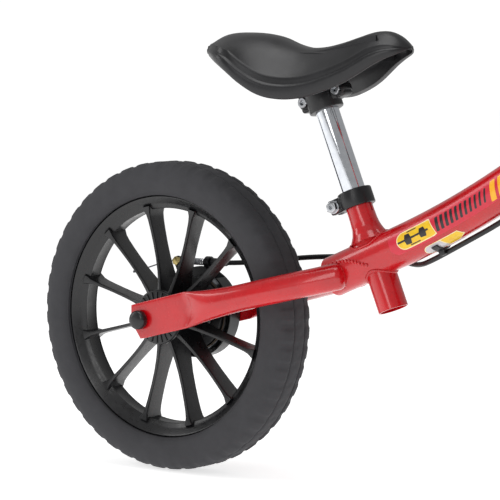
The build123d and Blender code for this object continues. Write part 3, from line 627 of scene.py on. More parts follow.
def stayLine(x):
    # centre of the stay's tube, (out, up) in mm from the rear axle, rounded at its bend
    share = min(max((x - 123) / 32, 0), 1)
    bend = share * share * 16
    first = (x - stay["tubeX"][0]) / (stay["tubeX"][1] - stay["tubeX"][0])
    second = (x - stay["tubeX"][1]) / (stay["tubeX"][2] - stay["tubeX"][1])
    values = []
    for low, middle, high in (stay["tubeSide"], stay["tubeZ"]):
        before = low + (middle - low) * first
        after = middle + (high - middle) * second
        slopeBefore, slopeAfter = (middle - low) / 77, (high - middle) / 69
        if x <= 123:
            values.append(before)
        elif x >= 155:
            values.append(after)
        else:
            values.append(low + slopeBefore * 61 + slopeBefore * (x - 123) + (slopeAfter - slopeBefore) * bend)
    return values


def makeStay(name, node, side):
    # flattened into its dropout plate behind a curved crease
    shape = bmesh.new()
    stations = []
    plate = [(-11.5, 13.6, -3.5), (-11, 13.8, -4.4), (-8, 14.6, -8.6), (-4, 15.6, -14.1), (-0.8, 16.4, -18.7),
             (4, 17.7, -17.9), (14, 20.2, -15.3), (26, 23.3, -12.2), (38, 26.3, -9.2), (47, 28.6, -6.9),
             (53, 30.1, -5.4)]
    for x, top, low in plate:
        bulge = 8 * min(max((x - 14) / 39, 0), 1) ** 1.5
        stations.append((fromRear(x, side * stay["plateSide"], (top + low) / 2), left, Vector((0, 0, 1)),
                         stay["plateHalf"], (top - low) / 2, 9, bulge))
    flare = [(55, 3.6, 17.5, 6.5, 8), (57.5, 4.7, 17.2, 4.6, 8), (61, 6.0, 16.7, 3.6, 7.6), (66, 7.5, 16.0, 2.9, 6.6),
             (73, 9.1, 15.1, 2.5, 5), (82, 10.6, 14.2, 2.25, 3), (93, 11.8, 13.5, 2.1, 1), (105, 12.4, 12.95, 2.02, 0),
             (116, 12.7, 12.7, 2, 0)]
    tube = flare + [(x, 12.7, 12.7, 2, 0) for x in (122, 126, 131, 136, 141, 146, 151, 156, 175, 206)]
    for x, wide, high, square, bulge in tube:
        out, up = stayLine(x)
        before, after = stayLine(x - 2), stayLine(x + 2)
        along = Vector((4, side * (after[0] - before[0]), after[1] - before[1])).normalized()
        lean = min(max((x - 53) / 50, 0), 1)
        along = Vector((1, 0, 0)).lerp(along, lean).normalized()
        upward = along.cross(left).normalized()
        stations.append((fromRear(x, side * out, up), upward.cross(along), upward, wide, high, square, bulge))
    # rounded off where it is welded into the main tube
    centre, sideways, upward = stations[-1][:3]
    ahead = sideways.cross(upward)
    for on, radius in ((2.6, 12.1), (5, 10.4), (6.6, 7.6), (7.4, 4)):
        stations.append((centre + ahead * on * mm, sideways, upward, radius, radius, 2, 0))
    atStations(shape, stations, stay["steps"])
    outward(shape)
    return finishPiece(name, shape, "frame", "red", (node,), 40)


makeStay("rightStay", "right_stay", -1)
makeStay("leftStay", "left_stay", 1)
print("stays made")


mainLine = {"rear": (189.5, 48.2), "corner": (335.5, 111.0), "bend": 860, "radius": 19.05}
mainRear, mainCorner = Vector(mainLine["rear"]), Vector(mainLine["corner"])
frontPoint = onSteer(210) - rearAxle
mainFront = Vector((frontPoint.x, frontPoint.z)) / mm
mainFirst, mainLast = (mainCorner - mainRear).normalized(), (mainFront - mainCorner).normalized()
mainTurn = mainFirst.angle(mainLast)
mainReach = mainLine["bend"] * math.tan(mainTurn / 2)
bendStart = (mainCorner - mainRear).length - mainReach
bendEnd = bendStart + mainLine["bend"] * mainTurn


def onMain(along, turn=0.0, out=0.0, side=-1):
    # a point on the main tube: mm from its rear end, angle above its side, mm off its surface; and its direction
    normal = Vector((-mainFirst.y, mainFirst.x))
    if along < bendStart:
        middle, way = mainRear + mainFirst * along, mainFirst
    elif along > bendEnd:
        middle, way = mainCorner + mainLast * (mainReach + along - bendEnd), mainLast
    else:
        angle = (along - bendStart) / mainLine["bend"]
        way = mainFirst * math.cos(angle) + normal * math.sin(angle)
        middle = mainRear + mainFirst * bendStart + (mainFirst * math.sin(angle)
                                                     + normal * (1 - math.cos(angle))) * mainLine["bend"]
    reach = mainLine["radius"] + out
    up = Vector((-way.y, 0, way.x))
    return fromRear(middle.x, side * reach * math.cos(turn), middle.y) + up * reach * math.sin(turn) * mm, way


def puddle(shape, place, lean, size):
    made = bmesh.ops.create_uvsphere(shape, u_segments=10, v_segments=6, radius=size * mm)["verts"]
    bmesh.ops.translate(shape, verts=made, vec=place + lean * 0.15 * mm)


def weldAround(shape, parent, start, way, radius, count=44, size=1.9):
    # small overlapping puddles where a tube of that radius, going that way, meets the parent's surface
    mesh = nodes[parent].data
    tree = BVHTree.FromPolygons([vert.co for vert in mesh.vertices], [face.vertices for face in mesh.polygons])
    way = way.normalized()
    side = way.orthogonal().normalized()
    for step in range(count):
        turn = math.tau * step / count
        out = side * math.cos(turn) + way.cross(side) * math.sin(turn)
        hit = tree.ray_cast(start + out * radius * mm, way, 0.09)
        if hit[0] is None:
            continue
        puddle(shape, hit[0], (hit[1] + out).normalized(), size)


def makeWelds():
    shape = bmesh.new()
    for side in (-1, 1):
        start = fromRear(156, side * stayLine(156)[0], stayLine(156)[1])
        end = fromRear(206, side * stayLine(206)[0], stayLine(206)[1])
        weldAround(shape, "main_tube", start, end - start, stay["radius"] + 0.2)
    weldAround(shape, "main_tube", onSeat(-45), seatUp, 14.4, 52, 1.7)
    way = onMain(bendEnd + 5)[1]
    middle = onMain(bendEnd + 5, 0, -mainLine["radius"])[0]
    weldAround(shape, "head_tube", middle, Vector((way.x, 0, way.y)), mainLine["radius"], 72, 1.9)
    outward(shape)
    finishPiece("frameWelds", shape, "frame", "red", (), 60)
    shape = bmesh.new()
    for side in (-1, 1):
        weldAround(shape, "fork_steerer", onSteer(166.4, 0, side * 40), left * -side, 11.1, 44, 1.6)
    outward(shape)
    finishPiece("forkWelds", shape, "fork", "red", (), 60)


makeWelds()


def makeSeatTubeFoot():
    # the seat tube's foot flares to meet the main tube, with a bead round it
    shape, bead = bmesh.new(), bmesh.new()
    mesh = nodes["main_tube"].data
    tree = BVHTree.FromPolygons([vert.co for vert in mesh.vertices], [face.vertices for face in mesh.polygons])
    radius, high, count, levels = 12.8, 42, 96, 10

    def foot(turn):
        wide = radius + 1.9 + 5.2 * abs(math.cos(turn)) ** 1.5
        ahead, side = wide * math.cos(turn), wide * math.sin(turn)
        hit = tree.ray_cast(onSeat(60, ahead, side), -seatUp, 0.09)[0]
        return wide, (hit - seatFoot).dot(seatUp) / mm - 0.8

    feet = [foot(math.tau * step / count) for step in range(count)]
    rings = []
    for level in range(levels + 1):
        share = level / levels

        def place(part, share=share):
            wide, low = feet[round(part * count) % count]
            reach = radius + (wide - radius) * (1 - share) ** 2.3
            return onSeat(low + (high - low) * share, reach * math.cos(math.tau * part),
                          reach * math.sin(math.tau * part))

        rings.append(ring(shape, count, place))
    joinRings(shape, rings)
    for edge in (rings[0], rings[-1]):
        shape.faces.new(edge)
    outward(shape)
    finishPiece("seatTubeFoot", shape, "frame", "red", (), 40)
    for step in range(72):
        wide, low = foot(math.tau * step / 72)
        turn = math.tau * step / 72
        puddle(bead, onSeat(low + 0.6, (wide + 0.3) * math.cos(turn), (wide + 0.3) * math.sin(turn)), seatUp, 1.35)
    outward(bead)
    finishPiece("seatTubeBead", bead, "frame", "red", (), 60)


makeSeatTubeFoot()


def addBox(shape, centre, axes, size, bevelWidth, segments=3):
    made = bmesh.ops.create_cube(shape, size=1)["verts"]
    turn = Matrix([axis.normalized() for axis in axes]).transposed().to_4x4()
    bmesh.ops.transform(shape, verts=made,
                        matrix=Matrix.Translation(centre) @ turn @ Matrix.Diagonal((*[part * mm for part in size], 1)))
    if bevelWidth:
        edges = edgesOf(made)
        bmesh.ops.bevel(shape, geom=edges, offset=bevelWidth * mm, affect="EDGES", segments=segments, profile=0.5,
                        material=-1)


def addHex(shape, foot, axis, flats, height, chamfer=0.7, washer=0.0, hollow=0.0, turn=0.3):
    # a hex head or nut standing on foot; washer is its flange's radius, hollow its socket's width across flats
    if washer:
        turnedAround(shape, [(0, 0), (washer - 0.3, 0), (washer, 0.4), (washer - 0.4, 1.1), (washer - 2, 1.5), (0, 1.5)],
                     foot, axis, 48, False)
    start = 1.2 if washer else 0
    made = hexPrism(shape, foot + axis * (start + height / 2) * mm, axis, flats, height, turn)
    top = [face for vert in made for face in vert.link_faces if face.normal.dot(axis) > 0.9]
    edges = list({edge for face in top for edge in face.edges})
    bmesh.ops.bevel(shape, geom=edges, offset=chamfer * mm, affect="EDGES", segments=3, profile=0.5, material=-1)
    if hollow:
        shape.faces.ensure_lookup_table()
        level = (foot + axis * (start + height) * mm).dot(axis)
        caps = [face for face in shape.faces
                if face.normal.dot(axis) > 0.99 and abs(face.calc_center_median().dot(axis) - level) < 0.00005
                and (face.calc_center_median() - foot).cross(axis).length < 0.0005]
        if caps:
            bmesh.ops.inset_region(shape, faces=caps, thickness=(flats - hollow) / 2 * mm)
            pushed = bmesh.ops.extrude_discrete_faces(shape, faces=caps)["faces"]
            for face in pushed:
                bmesh.ops.translate(shape, verts=face.verts, vec=axis * -height * 0.6 * mm)


def addKnurledHead(shape, foot, axis, radius, height, teeth=24, socket=4.0):
    # a serrated screw head with a hexagon socket
    outline = [(0, 0), (radius, 0), (radius, height - 0.5), (radius - 0.6, height), (socket / 1.6, height)]
    mark = len(shape.verts)
    turnedAround(shape, outline + [(socket / 1.75, height - 0.3), (socket / 1.9, height * 0.35), (0, height * 0.3)],
                 foot, axis, teeth * 2, False)
    shape.verts.ensure_lookup_table()
    for vert in shape.verts[mark:]:
        offset = vert.co - foot
        out = offset - axis * offset.dot(axis)
        if out.length > (radius - 0.2) * mm:
            turn = math.atan2(out.dot(axis.orthogonal()), out.dot(axis.cross(axis.orthogonal()))) * teeth / math.tau
            if (turn * 2) % 2 > 1:
                vert.co -= out.normalized() * 0.45 * mm


collar = {"middle": 58, "half": 8, "inner": 12.75, "outer": 16.3, "earOut": 8.5, "earBack": 27, "boltBack": 21.5}


def makeCollar():
    shape = bmesh.new()
    low, high = collar["middle"] - collar["half"], collar["middle"] + collar["half"]
    inner, outer = collar["inner"], collar["outer"]
    profile = [(inner, low), (outer - 1, low), (outer - 0.3, low + 0.3), (outer, low + 1), (outer, high - 1),
               (outer - 0.3, high - 0.3), (outer - 1, high), (inner, high)]
    slit = math.asin(1.2 / outer)
    back = -seatAhead
    start = (back * math.cos(slit) + left * math.sin(slit)).normalized()
    verts = [shape.verts.new(seatFoot + (start * radius + seatUp * along) * mm) for radius, along in profile]
    face = shape.faces.new(verts)
    bmesh.ops.spin(shape, geom=[face] + list(face.verts) + list(face.edges), cent=seatFoot, axis=seatUp,
                   angle=-(math.tau - 2 * slit), steps=90, use_merge=False)
    for side in (-1, 1):
        middle = onSeat(collar["middle"], -(outer - 3 + collar["earBack"]) / 2, side * (collar["earOut"] + 1.2) / 2)
        addBox(shape, middle, (seatAhead, left, seatUp),
               (collar["earBack"] - outer + 3, collar["earOut"] - 1.2, 2 * collar["half"] - 2), 1.6)
    outward(shape)
    finishPiece("seatCollar", shape, "frame", "blackCoat", ("seat_collar",), 35)
    shape = bmesh.new()
    right = onSeat(collar["middle"], -collar["boltBack"], -collar["earOut"])
    addHex(shape, right, -left, 10, 4.0, 0.8, 6.6, 5)
    bar(shape, right, onSeat(collar["middle"], -collar["boltBack"], 15.4), 2.95, 32)
    outward(shape)
    finishPiece("seatCollarBolt", shape, "frame", "zinc", ("seat_collar_bolt",), 30)
    shape = bmesh.new()
    addHex(shape, onSeat(collar["middle"], -collar["boltBack"], collar["earOut"]), left, 10, 4.4, 0.8, 0, 0)
    outward(shape)
    finishPiece("seatCollarNut", shape, "frame", "zinc", ("seat_collar_nut",), 30)


makeCollar()
print("collar made")


saddle = {
    "half": [(55, 0), (57.5, 15), (65, 30), (77, 45), (95, 60), (110, 64), (130, 61), (168, 52), (204, 41), (234, 30),
             (257, 21), (268, 14), (274, 3)],
    "edge": [(55, 259), (65, 255), (80, 252), (97, 246), (110, 238), (122, 229), (135, 221), (146, 216.8), (158, 214.8),
             (170, 214.5), (185, 216.5), (204, 222.5), (220, 229.5), (234, 238), (246, 246), (257, 252), (268, 257),
             (274, 261)],
    "top": [(55, 262), (60, 268), (70, 273.5), (80, 276), (95, 276.5), (110, 275.5), (127, 272.5), (144, 266.5),
            (158, 263), (168, 262), (185, 263.2), (204, 267.3), (220, 272), (234, 276), (243, 277.3), (252, 276.8),
            (262, 273), (270, 267), (274, 262.5)],
    "wall": 4.0, "roof": 4.5, "rear": 55, "front": 274, "bossLow": 246,
}
# the rolled lip, as (mm in from the widest, mm above the edge), from its bottom to where the side begins
lip = [(3.2, 0), (1.9, 0.6), (0.9, 2.2), (0.3, 4.2), (0, 6.2), (-0.2, 8.6), (0.2, 10.8), (1.1, 12.4), (2.3, 13.2),
       (3.3, 13.9), (3.7, 14.9), (3.9, 16.2), (4.4, 18.0), (5.2, 20.0)]


def saddleHalf(x):
    if x < 65:
        share = max(x - saddle["rear"], 0) / 10
        return 30 * math.sqrt(share * (2 - share) * 0.98 + 0.0004)
    return curveThrough(saddle["half"], x)


def saddleOutline(x):
    # the right half of a slice, from the middle of the top to the edge and back inside, in mm
    half, low, top = saddleHalf(x), curveThrough(saddle["edge"], x), curveThrough(saddle["top"], x)
    drop = max(top - low, 1.5)
    scale = min(drop / 36, 1, half / 14)
    shoulder, foot = max(half - lip[-1][0] * scale, half * 0.4), low + lip[-1][1] * scale
    upper = []
    for step in range(25):
        share = step / 25
        crown = 1 - share ** 2.5
        scooped = 0.5 + 0.5 * math.cos(math.pi * share ** 1.25)
        upper.append((shoulder * share, foot + (top - foot) * (0.5 * crown + 0.5 * scooped)))
    lower = [(half - inward * scale, low + height * scale) for inward, height in reversed(lip)]
    outer = upper + lower
    wall, roof = min(saddle["wall"], half * 0.45), min(saddle["roof"], drop * 0.45)
    squeeze = (half - wall) / half
    inner = []
    for y, z in upper:
        inner.append((y * squeeze, z - roof))
    for inward, height in ((5.2, 12), (4.6, 6), (4.4, 2)):
        inner.append((half - (inward + 2.4) * scale - wall * 0.25, low + height * scale))
    return outer, inner


def makeSaddle():
    shape = bmesh.new()
    rings = []
    count = 84
    for step in range(count + 1):
        share = step / count
        eased = 0.5 - 0.5 * math.cos(math.pi * share)
        x = saddle["rear"] + 0.15 + (saddle["front"] - saddle["rear"] - 0.3) * (0.62 * eased + 0.38 * share)
        outer, inner = saddleOutline(x)
        mirrored = [(-y, z) for y, z in inner[1:]] + [(-y, z) for y, z in outer[:0:-1]]
        loop = outer + inner[:0:-1] + inner[:1] + mirrored
        rings.append(ring(shape, len(loop),
                          lambda part, loop=loop, x=x: fromRear(x, *loop[round(part * len(loop)) % len(loop)])))
    joinRings(shape, rings)
    for last in (rings[0], rings[-1]):
        shape.faces.new(last)
    # ribs and the clamp's boss inside
    for side in (-15, 15):
        ribRings = []
        for x in range(84, 252, 6):
            high = curveThrough(saddle["top"], x) - 3 - abs(side) * 0.05
            low = max(250, curveThrough(saddle["edge"], x) + 4)
            corners = [(side - 1.3, high), (side + 1.3, high), (side + 1.1, low), (side - 1.1, low)]
            ribRings.append(ring(shape, 4,
                                 lambda part, corners=corners, x=x: fromRear(x, *corners[round(part * 4) % 4])))
        joinRings(shape, ribRings)
        for last in (ribRings[0], ribRings[-1]):
            shape.faces.new(last)
    for x, reach, low, high in ((104, 36, 250, 259), (124, 32, 245, 256), (212, 12, 246, 255), (230, 8, 250, 258)):
        addBox(shape, fromRear(x, 0, (low + high) / 2), (Vector((1, 0, 0)), left, Vector((0, 0, 1))),
               (2.4, 2 * reach, high - low), 0.5, 2)
    addBox(shape, fromRear(168, 0, 252), (Vector((1, 0, 0)), left, Vector((0, 0, 1))), (54, 40, 12.4), 2)
    outward(shape)
    finishPiece("saddleShell", shape, "seat", "saddle", ("saddle",), 48)


makeSaddle()
print("saddle made")


clamp = {"low": 146, "high": 175, "inner": 11.3, "outer": 16.6, "screws": [(160.3, -16.3), (158.9, 22.5)], "half": 8.2}


def makeSaddleClamp():
    shape = bmesh.new()
    inner, outer, low, high = clamp["inner"], clamp["outer"], clamp["low"], clamp["high"]
    turnedAround(shape, [(inner, low), (outer - 1.4, low), (outer - 0.4, low + 0.4), (outer, low + 1.4), (outer, high - 2),
                         (outer - 2, high), (inner, high)], seatFoot, seatUp, 72)
    addBox(shape, fromRear(168, 0, saddle["bossLow"] - 4.3), (Vector((1, 0, 0)), left, Vector((0, 0, 1))),
           (54, 40, 8.6), 2.4)
    (firstUp, firstAhead), (secondUp, secondAhead) = clamp["screws"]
    middle = onSeat((firstUp + secondUp) / 2, (firstAhead + secondAhead) / 2)
    addBox(shape, middle, (seatAhead, left, seatUp), (secondAhead - firstAhead + 13, 2 * clamp["half"] - 1.2, 17), 2.6)
    for along, ahead in clamp["screws"]:
        for side in (-1, 1):
            foot = onSeat(along, ahead)
            turnedAround(shape, [(0, 0), (7.2, 0), (7.2, clamp["half"] - 1), (6.4, clamp["half"]), (0, clamp["half"])],
                         foot, left * side, 40, False)
    outward(shape)
    finishPiece("saddleClamp", shape, "seat", "blackCoat", ("saddle_clamp",), 40)
    shape = bmesh.new()
    for along, ahead in clamp["screws"]:
        addKnurledHead(shape, onSeat(along, ahead, -clamp["half"]), -left, 5.0, 4.0)
        addHex(shape, onSeat(along, ahead, clamp["half"]), left, 8, 3.6, 0.6)
        bar(shape, onSeat(along, ahead, clamp["half"]), onSeat(along, ahead, clamp["half"] + 5.6), 2.4, 24)
    outward(shape)
    finishPiece("saddleScrews", shape, "seat", "zinc", ("saddle_screws",), 30)


makeSaddleClamp()


post = {"low": 3, "high": 172, "radius": 11.1, "wall": 1.6}


def makeSeatPost():
    # swaged tube with rolled-in ends and a ring at its least insertion
    shape = bmesh.new()
    low, high, radius, wall = post["low"], post["high"], post["radius"], post["wall"]
    outline = [(radius - wall, low), (radius - 0.6, low), (radius, low + 0.7), (radius, 55), (radius - 0.12, 55.3),
               (radius - 0.12, 56.3), (radius, 56.6), (radius, high - 0.7), (radius - 0.6, high), (radius - wall, high)]
    turnedAround(shape, outline, seatFoot, seatUp, 128)
    outward(shape)
    finishPiece("seatPost", shape, "seat", "chrome", ("seat_post",), 40)


makeSeatPost()


capped = {"rear": (rearAxle, 53.5, "frame"), "front": (frontAxle, 48, "fork")}


def makeAxleEnds():
    # nuts under dark domed caps
    for end, (centre, plate, body) in capped.items():
        shape, nuts = bmesh.new(), bmesh.new()
        for side in (-1, 1):
            way = left * side
            outline = [(7.9, 1.6), (9.1, 1.6), (9.25, 2.2), (9.2, 5.2), (8.9, 6.5), (8.1, 7.7), (6.6, 8.5), (4.5, 9.0),
                       (2.2, 9.2), (0, 9.25), (0, 8.0), (7.9, 7.2)]
            turnedAround(shape, outline, centre + way * plate * mm, way, 72, False)
            addHex(nuts, centre + way * plate * mm, way, 13, 4.6, 0.7, 8.0)
        for form, name, finish, node in ((shape, "AxleCaps", "nylon", "_axle_caps"),
                                         (nuts, "AxleNuts", "zinc", "_axle_nuts")):
            outward(form)
            finishPiece(end + name, form, body, finish, (end + node,), 40)


makeAxleEnds()
print("post, clamp and axle ends made")


def onTube(shape, outline, out, side=-1):
    # a flat outline in (along, up) mm, cut fine enough to lie round the main tube
    film = bmesh.new()
    film.faces.new([film.verts.new((along, up, 0)) for along, up in outline])
    for axis, gap in ((0, 5), (1, 1.2)):
        normal = Vector((1, 0, 0)) if axis == 0 else Vector((0, 1, 0))
        low, high = min(point[axis] for point in outline), max(point[axis] for point in outline)
        for step in range(1, int((high - low) / gap) + 1):
            bmesh.ops.bisect_plane(film, geom=film.verts[:] + film.edges[:] + film.faces[:],
                                   plane_co=normal * (low + step * gap), plane_no=normal)
    bmesh.ops.triangulate(film, faces=film.faces)
    for vert in film.verts:
        vert.co = onMain(vert.co.x, vert.co.y / mainLine["radius"], out, side)[0]
    mesh = bpy.data.meshes.new("film")
    film.to_mesh(mesh)
    film.free()
    shape.from_mesh(mesh)
    bpy.data.meshes.remove(mesh)


def rounder(centre, radius, first, last, steps=14):
    return [(centre[0] + radius * math.cos(math.radians(first + (last - first) * step / steps)),
             centre[1] + radius * math.sin(math.radians(first + (last - first) * step / steps)))
            for step in range(steps + 1)]


decal = {"badge": (89.5, 131), "badgeHalf": 8.4, "ticks": 11, "firstTick": 134.8, "tickPitch": 5.75, "tickHalf": 6.4,
         "label": (109, 154), "stripes": 196}


def badgeOutline(shrink):
    rear, front = decal["badge"]
    half = decal["badgeHalf"] - shrink
    start = rear + decal["badgeHalf"]
    return rounder((start, 0), half, 90, 270) + [(front - 2 - shrink, -half), (front + 1.5 - shrink, -half + 0.8),
                                                 (front - 1 - shrink * 0.6, half - 0.4), (front - 2.5 - shrink, half)]


def slanted(start, width, half, lean):
    # a slanted bar with softened ends
    return [(start - lean, -half + 0.6), (start - lean + 0.5, -half), (start - lean + width - 0.5, -half),
            (start - lean + width, -half + 0.6), (start + lean + width, half - 0.6), (start + lean + width - 0.5, half),
            (start + lean + 0.5, half), (start + lean, half - 0.6)]


def makeDecals():
    for name, side in (("right", -1), ("left", 1)):
        layers = {}

        def layer(kind, outline, out):
            onTube(layers.setdefault(kind, bmesh.new()), outline, out, side)

        layer("clear", [(86, -10.2), (228, -10.2), (232, 10.2), (84, 10.2), (80.5, 5), (80.5, -5)], 0.05)
        layer("pale", badgeOutline(0), 0.09)
        layer("yellow", badgeOutline(0.9), 0.13)
        for start, half in ((99, 4.6), (116, 4.2)):
            layer("black", [(start, -half), (start + 6, -half - 0.6), (start + 7.4, 0), (start + 6, half), (start + 1, half),
                            (start - 0.8, 0)], 0.17)
        layer("black", [(90.5, -0.9), (126, -0.9), (126, 0.9), (90.5, 0.9)], 0.165)
        for up in (-6.2, 6.2):
            layer("black", [(103, up - 0.5), (114, up - 0.5), (114, up + 0.5), (103, up + 0.5)], 0.165)
        for count in range(decal["ticks"]):
            start = decal["firstTick"] + count * decal["tickPitch"]
            layer("black", slanted(start, 3.5 - count * 0.13, decal["tickHalf"] - count * 0.06, 1.2 + count * 0.13), 0.13)
        for count, width in enumerate((6, 4.5, 3.2)):
            layer("orange", slanted(decal["stripes"] + 4 + count * 9.5, width, 8.6, 3.2), 0.13)
        rear, front = decal["label"]
        layer("pale", rounder((rear + 7, -21), 6.8, 90, 240) +
              [(front - 10, -27.4), (front, -21), (front - 4, -14.2)], 0.09)
        layer("silver", rounder((rear + 7, -21), 6.0, 90, 240) + [(rear + 24, -26.6), (rear + 20, -15)], 0.13)
        layer("yellow", [(rear + 25, -26.6), (front - 10.4, -26.6), (front - 1.4, -21), (front - 4.6, -15),
                         (rear + 21.4, -15)], 0.13)
        for kind, shape in layers.items():
            bmesh.ops.recalc_face_normals(shape, faces=shape.faces)
            shape.normal_update()
            flipped = [face for face in shape.faces if face.normal.y * side < 0]
            bmesh.ops.reverse_faces(shape, faces=flipped)
            finishPiece(name + kind.capitalize() + "Decal", shape, "frame", kind + "Vinyl", (), 60)


makeDecals()
print("decals made")


cable = {"radius": 2.5, "wire": 0.8, "side": 45, "line": 49.2}
cableOnFrame = [(22, 45, 49.2), (58, 46, 51), (98, 46, 56.5), (134, 38.5, 61), (168, 28.5, 64), (200, 26.5, 66),
                (229, 25.6, 65.8), (254, 23.4, 63.2), (274, 14.5, 61.8), (294, 3, 67.4), (330, 0.5, 85.5),
                (372, 0, 107.5), (403, 1, 129.5), (413.5, 6.5, 136.5)]
cableToFork = [(413.5, 6.5, 136.5), (424, 12, 143.5), (438, 25, 160), (453, 34, 186), (470, 38, 216), (482, 34, 246),
               (483.5, 27.5, 260)]
cableToLever = [(483.5, 27.5, 260), (485, 21, 274), (479.5, 0.5, 302), (463, -21, 329)]


def tubeThrough(name, points, radius, finish, around=6):
    # a smooth tube with its ends closed, along a curve guided by the points, which are in metres
    curve = bpy.data.curves.new(name, "CURVE")
    curve.dimensions = "3D"
    spline = curve.splines.new("NURBS")
    spline.points.add(len(points) - 1)
    for target, point in zip(spline.points, points):
        target.co = (*point, 1)
    spline.order_u = 3
    spline.use_endpoint_u = True
    curve.resolution_u = 8
    curve.bevel_depth = radius * mm
    curve.bevel_resolution = around
    curve.use_fill_caps = True
    guide = bpy.data.objects.new(name + "Guide", curve)
    bpy.context.collection.objects.link(guide)
    bpy.context.view_layer.update()
    mesh = bpy.data.meshes.new_from_object(guide.evaluated_get(bpy.context.evaluated_depsgraph_get()))
    bpy.data.objects.remove(guide)
    mesh.name = name
    mesh.materials.clear()
    mesh.materials.append(finishes[finish])
    mesh.shade_smooth()
    mesh.set_sharp_from_angle(angle=math.radians(50))
    piece = bpy.data.objects.new(name, mesh)
    bpy.context.collection.objects.link(piece)
    return piece


barCentre = onSteer(315, 28)
barLean = math.radians(14.5)
gripLine = barCentre + Vector((-math.sin(barLean), 0, math.cos(barLean))) * 80 * mm
leverOut = Vector((math.cos(math.radians(30)), 0, -math.sin(math.radians(30))))
leverTop = Vector((math.sin(math.radians(30)), 0, math.cos(math.radians(30))))


def atLever(out, along, up=0.0):
    # from the right grip's line: out in front of it, along it towards its end, and up
    return gripLine + (leverOut * out - left * along + leverTop * up) * mm


def makeCables():
    onFrame = [fromRear(*point) for point in cableOnFrame]
    toFork = [fromRear(*point) for point in cableToFork]
    toLever = [fromRear(*point) for point in cableToLever] + [atLever(31, 36), atLever(31, 70)]
    lower = tubeThrough("brakeCable", onFrame, cable["radius"], "sheath")
    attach(lower, "frame")
    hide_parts("brake_cable")
    middle = tubeThrough("brakeCableLower", toFork, cable["radius"], "sheath")
    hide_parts("brake_cable_lower")
    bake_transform(middle)
    upper = tubeThrough("brakeCableUpper", toLever, cable["radius"], "sheath")
    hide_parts("brake_cable_upper")
    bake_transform(upper)


makeCables()


def makeFerrules():
    # crimped end caps on the housing, at the brake and at the lever
    for name, body, start, way in (("brakeFerrule", "frame", fromRear(21.5, 45, 49.2), Vector((1, 0, 0.04))),
                                   ("leverFerrule", "handlebar", atLever(31, 70.5), left)):
        shape = bmesh.new()
        outline = [(0.9, 0), (3.1, 0), (3.3, 0.4), (3.3, 2.2), (3.0, 2.6), (3.0, 3.4), (3.3, 3.8), (3.3, 8.6), (3.0, 9.2),
                   (2.4, 9.3)]
        turnedAround(shape, outline, start, way, 48)
        outward(shape)
        finishPiece(name, shape, body, "blackCoat", (), 40)


makeFerrules()


def makeClips():
    # moulded clips that hold the cable under the main tube
    for count, share in enumerate((0.42, 0.845)):
        length = bendEnd + (mainFront - mainCorner).length - mainReach
        along = length * share
        shape = bmesh.new()
        inner, outer = 0.15, 1.8
        rings = []
        for step in range(25):
            turn = math.radians(-90 + (step - 12) * 3.1)
            corners = [(along - 3.4, inner), (along + 3.4, inner), (along + 3.4, outer - 0.5), (along + 2.9, outer),
                       (along - 2.9, outer), (along - 3.4, outer - 0.5)]
            made = [onMain(a, turn, o, -1)[0] for a, o in corners]
            rings.append(ring(shape, 6, lambda part, made=made: made[round(part * 6) % 6]))
        joinRings(shape, rings)
        for last in (rings[0], rings[-1]):
            shape.faces.new(last)
        middle, way = onMain(along, -math.pi / 2, 2.6, -1)
        forward = Vector((way.x, 0, way.y))
        down = left.cross(forward)
        addBox(shape, middle, (forward, left, down), (6.8, 8.6, 7.2), 1.4)
        outward(shape)
        finishPiece("cableClip" + ("Rear", "Front")[count], shape, "frame", "nylon",
                    ("cable_clips",) if count == 0 else ())


makeClips()
print("cables made")


brake = {"arm": (-22, 36), "anchor": -28, "armIn": 41.2, "armThick": 2.2, "cover": 45, "coverIn": 46, "coverOut": 48.5,
         "rimStart": 31, "window": (52, 132)}


